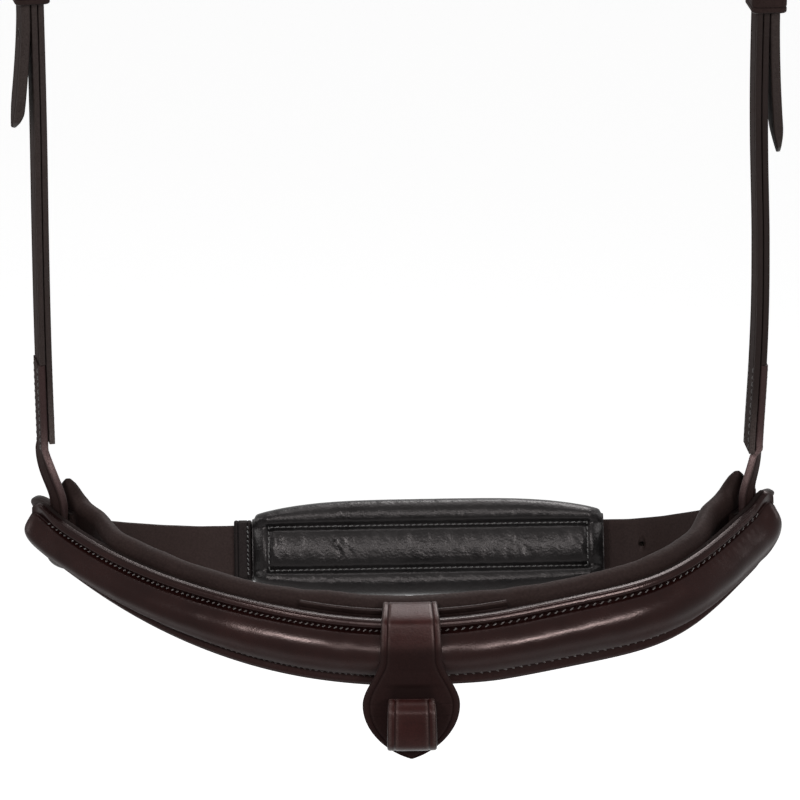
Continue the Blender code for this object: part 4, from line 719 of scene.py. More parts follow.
def make_backing():
    s = band_places(0.0, 0.003)
    a, b, edge, _ = strap_section(2 * (half_height(s) - 2 * GAP), BACKING_THICK, crease=0.0)
    rings = band_point(s[:, None], -GAP - BACKING_THICK / 2 + b, settled(s[:, None], a))
    return grid("backing_leather", rings, STRAP, "noseband", marks={"edge": edge, "dull": np.ones_like(edge)})


BACKING_BACK = -GAP - BACKING_THICK
LOOP_N = BACKING_BACK - GAP - LOOP_THICK / 2
CHIN_N = LOOP_N - LOOP_THICK / 2 - GAP - CHIN_THICK / 2
BRIDGE_N = BACKING_BACK - GAP - BRIDGE_THICK / 2
BRIDGE_BACK = BRIDGE_N - BRIDGE_THICK / 2


def lining_front(s):
    """The lining's front: behind the backing, and further back over the strip, the loop and the straps."""
    resting = BACKING_BACK - GAP
    near_bridge = 1 - smooth(np.abs(s), BRIDGE_HALF + 0.003, BRIDGE_HALF + 0.017)
    near_loop = 1 - smooth(np.abs(s), FLASH_REACH, FLASH_REACH + 0.014)
    near_end = 1 - smooth(to_end(s), 0.018, 0.038)
    return (resting + (BRIDGE_BACK - GAP - resting) * near_bridge - (FLASH_THICK + GAP) * near_loop
            + (CHIN_N - CHIN_THICK / 2 - GAP - resting) * near_end)


def lining_rows(s):
    """Control points of the lining's section at each s: how far out and up, and its top edge."""
    left_over = to_end(s) - LINING_SHORT
    close = end_factor(left_over, END_ROUND, 0.45)
    thick = mix(LINING_END_THICK, LINING_THICK, smooth(left_over, 0.0, 0.011))
    flare = by_side(s, "flare") * bump(to_end(s), 0.0050, 0.0039)
    over = mix(0.0006, 0.0036, smooth(to_end(s), 0.012, 0.045))
    top = (full_height(s) / 2 + over + flare) * close
    low = -(full_height(s) / 2 + 0.0016 - 0.0030 * smooth(to_end(s), 0.026, 0.012)) * close
    seam, roll = LINING_SEAM * close, LINING_ROLL * close
    back, inward = zip(*LINING_EDGE)
    depth = np.array([0.0, *back, 0.988, 1.0, 0.988, *back[::-1], 0.0])
    heights = [-seam, *[low + b * roll for b in inward], 0.40 * low, np.zeros_like(s), 0.40 * top,
               *[top - b * roll for b in inward[::-1]], seam]
    return lining_front(s)[:, None] - depth * thick[:, None], np.stack(heights, axis=1), top


def make_lining():
    """The padded lining: one soft closed form whose top rolls over behind the face."""
    s = band_places(LINING_SHORT, 0.0011)
    n, h, top = lining_rows(s)
    rows = np.array([flat_curve(np.column_stack(pair), 1.0, True, least=5) for pair in zip(n, h)])
    away = np.array([unit(np.column_stack([r[:, 0] + LINING_THICK / 2, 0.35 * r[:, 1]])) for r in rows])
    n, h, s = rows[..., 0], rows[..., 1], s[:, None]
    tall = bump(h, top[:, None], 0.006)
    crease = wander(s * 900, h * 500, 1.0) * wander(s * 210, 0.0, 4.0)
    push = WRINKLE_DEPTH * crease * tall + SOFT_WAVE * wander(s * 160, h * 160, 6.0)
    push = push * (n < lining_front(s) - 0.0006)
    # Painted shade in the troughs of the wrinkles near the top.
    groove = 0.35 * np.clip(-crease, 0, 1) * tall
    rings = band_point(s, n + away[..., 0] * push, h + away[..., 1] * push)
    piece = grid("lining_padding", rings, LINING, "noseband",
                 marks={"groove": groove, "dull": np.full_like(groove, 0.5)})
    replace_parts(piece, "noseband_lining_cover", "noseband_lining_foam")


def make_bridge_strip():
    s = np.linspace(-BRIDGE_HALF, BRIDGE_HALF, 60)
    top, low = FACE_HEIGHT / 2 + BRIDGE_RISE, FLANGE - FACE_HEIGHT / 2
    a, b, edge, groove = strap_section(np.full(len(s), top - low), BRIDGE_THICK, crease=0.6)
    rings = band_point(s[:, None], BRIDGE_N + b, (top + low) / 2 + a)
    piece = grid("bridge_strip_leather", rings, LINING, "noseband",
                 marks={"edge": edge * 0.5, "groove": groove})
    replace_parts(piece, "centre_bridge_strip")


# Flash loop, tab and keeper

LOOP_INNER, LOOP_BEVEL = FACE_HEIGHT / 2 - 0.0040, 0.0004


def coarse_front():
    """The front outline at the middle that the loop is drawn over, from the middle up."""
    half = FACE_HEIGHT / 2
    heights = LOOP_INNER * np.cos(math.pi * np.arange(9) / 8)
    crown = [(FACE_THICK + BULGE_RISE * max(0.0, math.cos(math.pi / 2 * h / LOOP_INNER)) ** BULGE_FULLNESS, h)
             for h in heights]
    points = [(FACE_THICK - LOOP_BEVEL, half), (FACE_THICK, half - LOOP_BEVEL)] + crown
    return [p for p in points if p[1] >= 0.0][::-1]


def hull_path():
    """The shortest path round the front, over the top and down behind the bridge strip."""
    top = FACE_HEIGHT / 2 + BRIDGE_RISE
    kept = []
    for p in coarse_front() + [(BRIDGE_N + BRIDGE_THICK / 2, top), (BRIDGE_BACK, top),
                               (BRIDGE_BACK, LOOP_BEVEL - FACE_HEIGHT / 2)]:
        while len(kept) >= 2 and turning(kept[-2], kept[-1], p) <= 1e-12:
            kept.pop()
        kept.append(p)
    return kept


def turning(a, b, c):
    return (b[0] - a[0]) * (c[1] - b[1]) - (b[1] - a[1]) * (c[0] - b[0])


def edge_normal(a, b):
    direction = unit(np.array([b[0] - a[0], b[1] - a[1]]))
    return np.array([direction[1], -direction[0]])


def offset_path(path, distance):
    """The path moved outward, with an arc round each sharp corner."""
    sides = [edge_normal(a, b) for a, b in zip(path, path[1:])]
    moved = []
    for point, first, second in zip(path, sides[:1] + sides, sides + sides[-1:]):
        angle = math.acos(max(-1.0, min(1.0, float(np.dot(first, second)))))
        for share in (0.0, 0.25, 0.5, 0.75, 1.0) if angle > math.radians(25) else (0.5,):
            moved.append(tuple(np.array(point) + unit(mix(first, second, share)) * distance))
    return moved


def tab_width(depth):
    """The tab's outline: the loop's width, swelling to the widest and closing to a rounded tip."""
    share = np.clip((depth - TAB_WIDEST) / (TAB_TIP - TAB_WIDEST), 0.0, 1.0)
    swelling = mix(FLASH_WIDTH, TAB_WIDTH, smooth(depth, -0.002, TAB_WIDEST))
    closing = TAB_WIDTH * np.maximum(0.03, (1 - share ** 2) ** 0.72)
    return np.where(depth <= TAB_WIDEST, swelling, closing)


def tab_line(offset, shares):
    start = FACE_THICK + BULGE_RISE + GAP + FLASH_THICK / 2 - offset
    depths = [mix(TAB_TOP, TAB_TIP, share) for share in shares]
    return [(start + (depth - TAB_TOP) * math.tan(TAB_LEAN), -depth) for depth in depths]


def ridge_highlight(a, b, widths):
    """Painted highlights on the lines just inside a crease and just inside the edge, standing in for the
    light they catch.
    """
    side = np.atleast_1d(widths)[:, None] / 2 - np.abs(a)
    return (0.30 * bump(side, CREASE + 0.0007, 0.00030) + 0.22 * bump(side, 0.0007, 0.0004)) * (b > 0)


def flash_rings(rows, normal, a, b):
    return band_point(FLASH_S + a, rows[:, :1] + normal[:, :1] * b, rows[:, 1:] + normal[:, 1:] * b)


def strip_across(name, path, width_of, thick, flip=1.0, crease=1.0, dents=None, shade=None):
    """A strap whose width runs along the band; flip 1 puts its grain side on the path's right."""
    rows = flat_curve(path, 0.0008)
    normal = -left_normals(rows) * flip
    a, b, edge, groove = strap_section(width_of(rows), thick, crease)
    if dents:
        dip = dents(a, rows) * (b > 0)
        b = b - DENT_DEPTH * dip
        # The dents are painted darker as well: painted shadow in the hollow by the keeper, and darker pressed
        # lines.
        groove = np.clip(np.maximum(groove, 0.5 * dip), 0, 1)
    # Painted shade on the flash tab goes into the edge mark; painted highlights go along the creases and
    # edges.
    dark = shade(rows) if shade else np.zeros((len(rows), 1))
    marks = {"edge": np.maximum(edge, dark), "groove": groove, "dull": dark + 0 * a,
             "wear_and_painted_highlight": crease * (1 - dark) * ridge_highlight(a, b, width_of(rows))}
    return grid(name, flash_rings(rows, normal, a, b), RED_BROWN, "flash", marks=marks)


def soften(path):
    """The loop's path, its front standing off the flange and drawn into one smooth curve down to the tab."""
    rows = flat_curve(path, 0.0005)
    place = distances(rows)
    n, h = rows[:, 0].copy(), rows[:, 1]
    stands = 0.0099 - 0.0045 * np.clip((h - 0.0045) / 0.010, 0.0, 1.0) ** 1.3
    rows[:, 0] = mix(n, np.maximum(n, stands), smooth(n, -0.0020, 0.0012) * smooth(h, 0.0, 0.0045))
    spread = 0.0018 * smooth(h, -0.004, 0.001) * smooth(n, -0.0050, -0.0010) * smooth(place, 0.004, 0.012)
    weight = np.exp(-((place[:, None] - place[None, :]) / np.maximum(spread, 1e-5)[:, None]) ** 2)
    return (weight @ rows) / weight.sum(axis=1, keepdims=True)


def make_flash():
    over = offset_path(hull_path(), GAP + FLASH_THICK / 2)
    shares = [*np.linspace(0.0, 0.86, 24), 0.89, 0.92, 0.945, 0.965, 0.98, 0.989, 0.995, 0.998, 0.9995]

    def widths(rows):
        return np.where(rows[:, 0] > 0, tab_width(-rows[:, 1]), FLASH_WIDTH)

    def dents(a, rows):
        """A hollow under the keeper and two pressed lines beside it; both are painted darker too, the hollow
        as painted shadow.
        """
        n, depth = rows[:, :1], -rows[:, 1:]
        below = smooth(depth, 0.0068, 0.0088) * smooth(depth, 0.0150, 0.0128)
        recess_and_shadow = 2.2 * below * smooth(np.abs(a), 0.0080, 0.0070)
        outside = smooth(np.abs(a), FLASH_KEEPER_WIDTH / 2, FLASH_KEEPER_WIDTH / 2 + 0.0008)
        lines = 0.6 * sum(bump(wander(a * 300, 0, k) * 0.0002 - depth, -k, 0.00022) for k in TAB_LINES)
        return (outside * lines + recess_and_shadow) * (n > 0)

    def shade(rows):
        """Painted shade: the tab is painted darker than the loop above it."""
        return 0.85 * smooth(-rows[:, 1:], -0.0095, -0.0045) * (rows[:, :1] > 0)

    loop = strip_across("flash_loop_leather", soften(tab_line(0.0, shares)[::-1] + over), widths, FLASH_THICK,
                        dents=dents, shade=shade)
    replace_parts(loop, "flash_loop")
    behind = tab_line(FLASH_THICK / 2 + GAP + TAB_BACK_THICK / 2, TAB_BACK_SHARES)
    foot = over[-1]
    lead = [(foot[0] + n, foot[1] - GAP - drop) for n, drop in TAB_BACK_LEAD]

    def back_widths(rows):
        return np.where(rows[:, 0] < behind[0][0] - 0.0006, FLASH_WIDTH, tab_width(-rows[:, 1])) - 2 * GAP

    backing = strip_across("flash_tab_backing_leather", lead + behind, back_widths, TAB_BACK_THICK, flip=-1.0,
                           crease=0.0)
    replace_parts(backing, "flash_tab_backing")
    make_flash_keeper()


def make_flash_keeper():
    """An arched loop of strap on the front of the tab, open to both sides."""
    down = unit(np.array([math.tan(TAB_LEAN), -1.0]))
    out = np.array([-down[1], down[0]])
    start = np.array(tab_line(-(FLASH_THICK / 2 + GAP), (0.0,))[0])
    top = start + down * (FLASH_KEEPER_TOP - TAB_TOP) / -down[1]
    near = (FLASH_KEEPER_WALL / 2, FLASH_KEEPER_WALL / 2)
    far = (FLASH_KEEPER_HEIGHT + 3 * near[0], FLASH_KEEPER_DEPTH + 3 * near[0])
    outline = np.array(rounded_rectangle(near, far, 0.0036, steps=8))
    swell = 1 + 0.20 * np.sin(math.pi * np.clip(outline[:, :1] / far[0], 0, 1)) ** 0.7
    rows = flat_curve(top + outline[:, :1] * down + outline[:, 1:] * swell * out, 0.0008, closed=True)
    normals = away_from_middle(left_normals(rows, closed=True), rows)
    a, b, edge, groove = strap_section(np.full(len(rows), FLASH_KEEPER_WIDTH), FLASH_KEEPER_WALL)
    # Painted highlights along the creases and edges.
    keeper = grid("flash_keeper_leather", flash_rings(rows, normals, a, b), RED_BROWN, "flash", closed=True,
                  marks={"edge": edge * 0.8, "groove": groove, "wear_and_painted_highlight": ridge_highlight(a, b, FLASH_KEEPER_WIDTH)})
    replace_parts(keeper, "flash_keeper")


# Buckles, in a strap's own side view: a along the strap, t outward from its straight layer

HOOK = BAR_RADIUS + GAP + TONGUE_RADIUS


class Buckle:
    """A heel-bar buckle on a folded strap end; turn is +1 where the fold turns back outward, -1 inward."""

    def __init__(self, layer, billet, width, turn, far_t):
        self.layer, self.billet, self.width, self.turn, self.far_t = layer, billet, width, turn, far_t
        self.fold = layer / 2 + GAP + BAR_RADIUS
        self.bar_t = turn * self.fold
        outermost = self.bar_t + self.fold + layer / 2 if turn > 0 else layer / 2
        self.billet_t = outermost + GAP + billet / 2
        self.rest_t = (1.5 * layer + GAP if turn > 0 else layer / 2) + GAP + billet / 2
        rise = far_t + billet / 2 + GAP + BAR_RADIUS - self.bar_t
        self.tilt, self.length = math.atan2(rise, BAR_PITCH), math.hypot(rise, BAR_PITCH)

    def folded(self, start, end):
        """The strap's line up to the bar, round it and back."""
        bend = arc((0.0, self.bar_t), self.fold, -self.turn * math.pi / 2, self.turn * math.pi / 2, 12)
        back = self.turn * (self.layer + GAP)
        slope = [(-RETURN_SLOPE * u, mix(2 * self.bar_t, back, smooth(u, 0.0, 1.0)))
                 for u in np.arange(1, 9) / 8]
        return [(start, 0.0), (-RETURN_SLOPE, 0.0)] + bend + slope + [(end, back)]

    def billet_line(self, a):
        """How far out the other strap runs as it passes over the bar and through the frame."""
        if a > 0:
            return mix(self.billet_t, self.far_t, smooth(a, 0.001, BAR_PITCH))
        return mix(self.rest_t, self.billet_t, smooth(a, -RETURN_SLOPE - 0.002, -0.0015))

    def frame_point(self, p, q):
        return (p * math.cos(self.tilt) - q * math.sin(self.tilt),
                self.bar_t + p * math.sin(self.tilt) + q * math.cos(self.tilt))

    def tongue_line(self):
        ring = arc((0.0, 0.0), HOOK, math.pi / 2 + math.radians(250.0), math.pi / 2, 20)
        shaft = [(self.length * u, HOOK) for u in (0.2, 0.4, 0.6, 0.8, 1.0)] + [(self.length + 0.0016, HOOK)]
        return [self.frame_point(p, q) for p, q in ring + shaft]

    def crossing(self):
        """Where the tongue goes into and out of the other strap."""
        reach = self.billet / 2 + TONGUE_RADIUS + 2 * GAP
        spots = [self.frame_point(self.length * k / 200, HOOK) for k in range(200)]
        found = [a for a, t in spots if abs(t - self.billet_line(a)) < reach]
        return min(found), max(found)


def make_buckle(prefix, buckle, place, side_axis, frame_body, tongue_body):
    half = buckle.width / 2 + 0.0008 + BAR_RADIUS
    outline = rounded_rectangle((0.0, -half), (buckle.length, half), FRAME_CORNER)
    points = [place(*buckle.frame_point(p, 0.0), w) for p, w in outline]
    points = divide(points + points[:1], 0.003)[:-1]
    plane = unit(np.cross(points[6] - points[0], points[12] - points[0]))
    ring = rod(f"{prefix}_buckle_frame_steel", points, BAR_RADIUS, frame_body, plane, closed=True)
    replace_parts(ring, f"{prefix}_buckle_frame")
    tongue = [place(a, t, 0.0) for a, t in buckle.tongue_line()]
    pin = rod(f"{prefix}_buckle_tongue_steel", tongue, TONGUE_RADIUS, tongue_body, side_axis)
    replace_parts(pin, f"{prefix}_buckle_tongue")


def cut_slot(target, buckle, place):
    """The slot in the fold that the tongue stands in."""
    low = min(0.0, 2 * buckle.bar_t) - buckle.layer
    high = max(0.0, 2 * buckle.bar_t) + buckle.layer
    near, far = -BAR_RADIUS - 2 * TONGUE_RADIUS - 3 * GAP, buckle.fold + buckle.layer
    corners = ((near, low), (far, low), (far, high), (near, high))
    cut(target, np.array([[place(a, t, w) for a, t in corners] for w in (-SLOT_WIDTH / 2, SLOT_WIDTH / 2)]))


def punch_tongue_hole(strap, buckle, line, place, along, normal):
    """The oval hole, stretched by use, that the tongue is in; gives its place along the strap."""
    low, high = buckle.crossing()
    centre = (low + high) / 2
    punch(strap, place(centre, line(centre), 0.0), along, normal, high - low + 2 * TONGUE_RADIUS, SLOT_WIDTH)
    return centre


def tip_widths(distance, width):
    """A strap's pointed tail: its width at each distance from the tip."""
    return width * np.interp(distance, (0.0, 0.0004, 0.0010, 0.0025, 0.006, 0.010),
                             (0.16, 0.28, 0.42, 0.66, 0.90, 1.0))


# Chin straps, in a plane that drops towards the back: x across, t outward, w up

CHIN_CENTRE = (PAD_LEFT + PAD_RIGHT) / 2
CHIN_OUT = np.array([0.0, math.cos(CHIN_TILT), -math.sin(CHIN_TILT)])
CHIN_LEVEL = np.array([0.0, math.sin(CHIN_TILT), math.cos(CHIN_TILT)])
CHIN_ACROSS = X * math.cos(CHIN_ROLL) + CHIN_LEVEL * math.sin(CHIN_ROLL)
CHIN_UP = CHIN_LEVEL * math.cos(CHIN_ROLL) - X * math.sin(CHIN_ROLL)
CHIN_BUCKLE = Buckle(CHIN_THICK, CHIN_THICK, CHIN_WIDTH, 1, 0.0040)
LEAD_SEWN, LEAD_WIDTH, TURN_STEPS, BACK_STEPS = 0.0150, 0.0150, 16, 24


def chin_point(x, t, w=0.0):
    x, t, w = (v[..., None] for v in np.broadcast_arrays(x, t, w))
    return X * CHIN_CENTRE - Z * CHIN_DROP + CHIN_ACROSS * (x - CHIN_CENTRE) + CHIN_OUT * t + CHIN_UP * w


def chin_place(a, t, w):
    return chin_point(CHIN_BAR_X + a, CHIN_OUT_Y + t, w)


def chin_lead(side, straight_x):
    """Points, outward directions and widths from the noseband's end to where the strap runs straight."""
    shares = np.arange(4) / 3
    s = side * (band_end(side) - LEAD_SEWN * (1 - shares))
    points = list(band_point(s, CHIN_N, mix(0.0015, -0.0030, shares)))
    normals = list(band_frame(s)[2])
    turn_point = chin_point(side * (REACH - 0.0100), 0.0240, 0.0024 if side > 0 else 0.0018)
    straight = chin_point(straight_x, CHIN_OUT_Y)
    leaving = unit(points[-1] - points[-2])
    points.append(points[-1] + leaving * 0.0012)
    normals.append(normals[-1])
    back_in = unit(straight - turn_point)
    turn_normal = unit(np.cross(back_in, CHIN_UP)) * side
    points += hermite(points[-1], turn_point, leaving * 0.75, back_in * 0.95, TURN_STEPS)
    points += hermite(turn_point, straight, back_in, -side * CHIN_ACROSS, BACK_STEPS)
    end_normal = normals[-1]
    normals += [unit(mix(end_normal, turn_normal, k / TURN_STEPS)) for k in range(1, TURN_STEPS + 1)]
    normals += [unit(mix(turn_normal, CHIN_OUT, k / BACK_STEPS)) for k in range(1, BACK_STEPS + 1)]
    return points, normals, [mix(LEAD_WIDTH, CHIN_WIDTH, smooth(k, 3, 26)) for k in range(len(points))]


def planar(path):
    """Points of the chin straps' plane, and which way the path's left side faces there."""
    points = [chin_place(a, t, 0.0) for a, t in path]
    return points, [CHIN_ACROSS * d[0] + CHIN_OUT * d[1] for d in left_normals(path)]


def make_chin_straps():
    straight = PAD_LEFT - END_KEEPER_WIDTH - PAD_SLIDE
    lead, lead_normals, widths = chin_lead(-1, straight)
    points, normals = planar(divide(CHIN_BUCKLE.folded(straight - CHIN_BAR_X, -CHIN_TURNBACK)[1:], 0.002))
    between = list(divide([lead[-1], points[0]], 0.004)[1:-1])
    widths += [CHIN_WIDTH] * (len(between) + len(points))
    normals = lead_normals + [CHIN_OUT] * len(between) + normals
    strap = sweep("chin_strap_left_leather", lead + between + points, normals, widths, CHIN_THICK, STRAP,
                  "noseband", matt=CHIN_MATT)
    cut_slot(strap, CHIN_BUCKLE, chin_place)
    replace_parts(strap, "chin_strap_left")
    make_chin_billet()
    make_buckle("chin", CHIN_BUCKLE, chin_place, CHIN_UP, "noseband", "chin_tongue")


def chin_billet_t(a):
    settled = -CHIN_TURNBACK - 0.001
    if a > BAR_PITCH:
        return mix(CHIN_BUCKLE.far_t, 0.0, smooth(a, BAR_PITCH, CHIN_SETTLED))
    return mix(CHIN_THICK + GAP, CHIN_BUCKLE.billet_line(a), smooth(a, settled - 0.010, settled))


def make_chin_billet():
    straight = PAD_RIGHT + PAD_SLIDE
    lead, lead_normals, widths = chin_lead(1, straight)
    marks = np.concatenate([np.arange(straight - CHIN_BAR_X - 0.003, -CHIN_TAIL + 0.006, -0.0016),
                            -CHIN_TAIL + np.array([0.005, 0.004, 0.003, 0.002, 0.001, 0.0005, 0.0])])
    points, normals = planar([(a, chin_billet_t(a)) for a in marks])
    widths += list(tip_widths(marks + CHIN_TAIL, CHIN_WIDTH))
    strap = sweep("chin_strap_right_leather", lead + points, lead_normals + [-n for n in normals], widths,
                  CHIN_THICK, STRAP, "noseband", matt=CHIN_MATT)
    centre = punch_tongue_hole(strap, CHIN_BUCKLE, chin_billet_t, chin_place, CHIN_ACROSS, CHIN_OUT)
    for a in (centre + k * CHIN_HOLE_PITCH for k in (1, 2, 3)):
        for turn in (-1, 1):
            spot = chin_place(a, chin_billet_t(a), 0.0) + CHIN_OUT * turn * AWL_SIDE
            punch(strap, spot, CHIN_ACROSS, CHIN_OUT, *AWL_MARK)
    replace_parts(strap, "chin_strap_right")


# Chin pad

PAD_BACK_T = CHIN_OUT_Y - CHIN_THICK / 2 - GAP
PAD_COVER_BACK_T = PAD_BACK_T - PAD_BACK_THICK - GAP
PAD_HALF = (PAD_RIGHT - PAD_LEFT) / 2


def pad_left_over(x):
    """How far each x is from the pad's nearer end."""
    return PAD_HALF - np.abs(x - CHIN_CENTRE)


def pad_half_height(x):
    share = np.abs(x - CHIN_CENTRE) / PAD_HALF
    full = mix(PAD_HEIGHT, PAD_END_HEIGHT - 0.0012, share ** 3.7)
    return full / 2 * end_factor(pad_left_over(x), 0.0022, 0.90)


def pad_rows(x):
    """Control points of the pad's front at each x, from the lower back edge to the upper one."""
    half, left = pad_half_height(x), pad_left_over(x)
    thick = mix(PAD_END_THICK, PAD_THICK, smooth(left, 0.0, 0.006)) * end_factor(left, 0.004, 0.6)
    seam = PAD_SEAM + 0 * x
    roll = half - seam
    groove = PAD_GROOVE * smooth(left, PAD_SEAM_END - 0.0014, PAD_SEAM_END + 0.0014)
    end_groove = PAD_GROOVE * bump(left, PAD_SEAM_END, 0.0012)
    border = [(0.0 * x, half - 0.0030), (0.0 * x, half - 0.0008), (0.30 * thick, half),
              (0.72 * thick, half - 0.10 * roll), (0.97 * thick, seam + 0.55 * roll),
              (0.93 * thick, seam + 0.22 * roll)]
    panel = [(0.86 * thick - groove, seam), (0.90 * thick, seam - 0.0018), (0.97 * thick, 0.58 * seam),
             (1.02 * thick, 0.30 * seam), (1.04 * thick, 0.0 * x)]
    rows = border + [(t - end_groove, w) for t, w in panel]
    both = [(t, -w) for t, w in rows[:-1]] + rows[::-1]
    return np.stack([PAD_COVER_BACK_T - t for t, _ in both], axis=1), np.stack([w for _, w in both], axis=1)


def pad_curve(t, w):
    return flat_curve(np.column_stack([t, w]), 1.0, least=6)


def make_pad():
    """The soft chin pad: rolled border, sewn channel and a wrinkled panel."""
    left = np.concatenate([[0.0, 0.0003, 0.0008, 0.0014, 0.0021, 0.0028, 0.0036, 0.0043, 0.0049],
                           np.linspace(0.0054, 0.0074, 8), np.arange(0.0080, PAD_HALF, 0.0008)])
    x = CHIN_CENTRE + np.concatenate([left - PAD_HALF, (PAD_HALF - left)[::-1]])
    rows = np.array([pad_curve(t, w) for t, w in zip(*pad_rows(x))])
    t, w = rows[..., 0], rows[..., 1]
    x = x[:, None] + 0 * w
    high, left = np.abs(w), pad_left_over(x)
    in_panel = smooth(PAD_SEAM - high, 0.0004, 0.003) * smooth(left, PAD_SEAM_END, PAD_SEAM_END + 0.003)
    on_border = 1 - smooth(PAD_SEAM + 0.0012 - high, -0.002, 0.0012)
    folds = sum(depth * bump(x + 0.0012 * wander(w * 300, 0, k), k, wide) * bump(w, middle, tall)
                for k, depth, wide, middle, tall in PAD_FOLDS)
    fine = 0.5 * wander(x * 1500, w * 260, 3.0) + 0.5 * wander(x * 900 + w * 300, w * 500, 8.0)
    ripple = wander(x * 520, w * 240, 5.0)
    pucker = wander(x * 1150, 0, 9.0) * bump(high, PAD_SEAM + 0.0016, 0.0016)
    push = (in_panel * (0.00011 * fine + 0.00016 * ripple) - folds + 0.00010 * pucker
            + 0.00012 * on_border * ripple)
    t = t - push * (t < PAD_COVER_BACK_T - 0.001)
    seams = np.maximum(bump(high, PAD_SEAM, 0.0004) * (in_panel > 0),
                       bump(left, PAD_SEAM_END, 0.0004) * (high < PAD_SEAM))
    # Darker along the seams, and painted shade in the deeper folds.
    groove = np.clip(0.7 * seams + 1200 * np.clip(folds - 0.0002, 0, 1), 0, 1)
    piece = grid("chin_pad_padding", chin_point(x, t, w), BLACK, "chin_pad", marks={"groove": groove})
    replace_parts(piece, "chin_pad_cover", "chin_pad_filling")
    make_pad_stitches()
    make_pad_backing()
    for side, place in PAD_KEEPERS.items():
        make_pad_keeper(side, place)
    make_end_keeper()


def pad_surface(x, w):
    """The pad's front at one place: t there."""
    t, rows = pad_rows(np.array([x]))
    line = pad_curve(t[0], rows[0])
    return float(np.interp(w, line[:, 1], line[:, 0]))


def make_pad_stitches():
    pitch, reach = 0.0021, PAD_HALF - PAD_SEAM_END
    runs = [(x, side, CHIN_ACROSS) for side in (PAD_SEAM, -PAD_SEAM)
            for x in np.arange(-reach + pitch / 2, reach, pitch)]
    runs += [(end, w, CHIN_UP) for end in (-reach, reach)
             for w in np.arange(-PAD_SEAM + pitch / 2, PAD_SEAM, pitch)]
    centres = [chin_point(CHIN_CENTRE + x, pad_surface(CHIN_CENTRE + x, w) + 0.00002, w) for x, w, _ in runs]
    stitch_row("chin_pad_stitches", centres, [along for *_, along in runs], -CHIN_OUT, DARK_THREAD,
               "chin_pad", length=0.0014, radius=THREAD_RADIUS, slant=8.0)


def make_pad_backing():
    left = np.array([0.0, 0.0004, 0.001, 0.002, 0.003, 0.004, 0.006, 0.010])
    x = CHIN_CENTRE + np.concatenate([left - PAD_HALF, np.linspace(0.014 - PAD_HALF, PAD_HALF - 0.014, 50),
                                      (PAD_HALF - left)[::-1]])
    a, b, edge, groove = strap_section(2 * (pad_half_height(x) - 0.0012), PAD_BACK_THICK, crease=0.8)
    rings = chin_point(x[:, None], PAD_BACK_T - PAD_BACK_THICK / 2 + b, a)
    piece = grid("chin_pad_backing_leather", rings, BLACK, "chin_pad", marks={"edge": edge, "groove": groove})
    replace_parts(piece, "chin_pad_backing")


def make_pad_keeper(side, x):
    """A strap end sewn to the pad's back at both feet and standing over the chin straps."""
    stack = 3 * CHIN_THICK + 2 * GAP if x < CHIN_BAR_X else CHIN_THICK
    thick, r = PAD_KEEPER_THICK, 0.0011
    foot_t = PAD_BACK_T + GAP + thick / 2
    top_t = CHIN_OUT_Y - CHIN_THICK / 2 + stack + SLIDE_GAP + thick / 2
    wall = CHIN_WIDTH / 2 + SLIDE_GAP + thick / 2
    half = [(wall + PAD_KEEPER_FOOT, foot_t), (wall + r, foot_t), (wall + 0.3 * r, foot_t + 0.3 * r),
            (wall, foot_t + r), (wall, top_t - r), (wall - 0.3 * r, top_t - 0.3 * r), (wall - r, top_t)]
    path = divide(half + [(-w, t) for w, t in half[::-1]], 0.0015)
    keeper = sweep(f"chin_pad_keeper_{side}_leather", [chin_point(x, t, w) for w, t in path],
                   [-CHIN_UP * d[0] - CHIN_OUT * d[1] for d in left_normals(path)], PAD_KEEPER_WIDTH, thick,
                   BLACK, "chin_pad", step=KEEPER_STEP, crease=0.7)
    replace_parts(keeper, f"chin_pad_keeper_{side}")


def make_end_keeper():
    x, wall = PAD_LEFT - GAP - END_KEEPER_WIDTH / 2, END_KEEPER_WALL
    line = keeper_line(-CHIN_THICK / 2, 1.5 * CHIN_THICK + GAP, CHIN_WIDTH, wall, 0.0014)
    points = [chin_point(x, CHIN_OUT_Y + t, w) for t, w in line]
    keeper = ring_strap("chin_pad_end_keeper_leather", points, CHIN_ACROSS, END_KEEPER_WIDTH, wall,
                        BLACK_STRAP, "chin_pad")
    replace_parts(keeper, "chin_pad_end_keeper")
    face_t = CHIN_OUT_Y - CHIN_THICK / 2 - SLIDE_GAP - wall
    centres = [chin_point(x + 0.0019, face_t, w) for w in np.arange(-0.0085, 0.0086, 0.0017)]
    stitch_row("end_keeper_stitches", centres, CHIN_UP, -CHIN_OUT, DARK_THREAD, "chin_pad", length=0.0012,
               radius=THREAD_RADIUS, slant=25.0)


# Cheek straps, in their own side view: a is the height, t outward, w back

CHEEK_BUCKLE = Buckle(CHEEK_LAYER, BILLET_THICK, CHEEK_WIDTH, -1, 0.0003)
OUTER_T = GAP / 2 + CHEEK_LAYER / 2
HANGER_HALF = CHEEK_LAYER + GAP / 2
LAP_T = GAP / 2 + LOOP_THICK / 2


def cheek_place(cheek):
    """The strap's own coordinates as a function, and which way its outer face looks."""
    out = cheek["side"] * np.array([math.cos(cheek["twist"]), math.sin(cheek["twist"]), 0.0])
    back = np.array([-math.sin(cheek["twist"]), math.cos(cheek["twist"]), 0.0])
    middle = CHEEK_FOOT + CHEEK_LAP / 2

    def place(a, t, w):
        inset = mix(cheek["foot"], cheek["top"], smooth(a, middle, middle + CHEEK_SETTLES))
        x = cheek["side"] * (REACH - inset + cheek["bow"] * bump(a, BOW_HEIGHT, BOW_SPREAD))
        return X * x + np.array([0.0, CHEEK_BACK, a]) + out * t + back * w

    return place, out, back


def bar_place(place):
    """The same coordinates, from the buckle's bar."""
    return lambda a, t, w: place(CHEEK_BAR + a, OUTER_T + t, w)


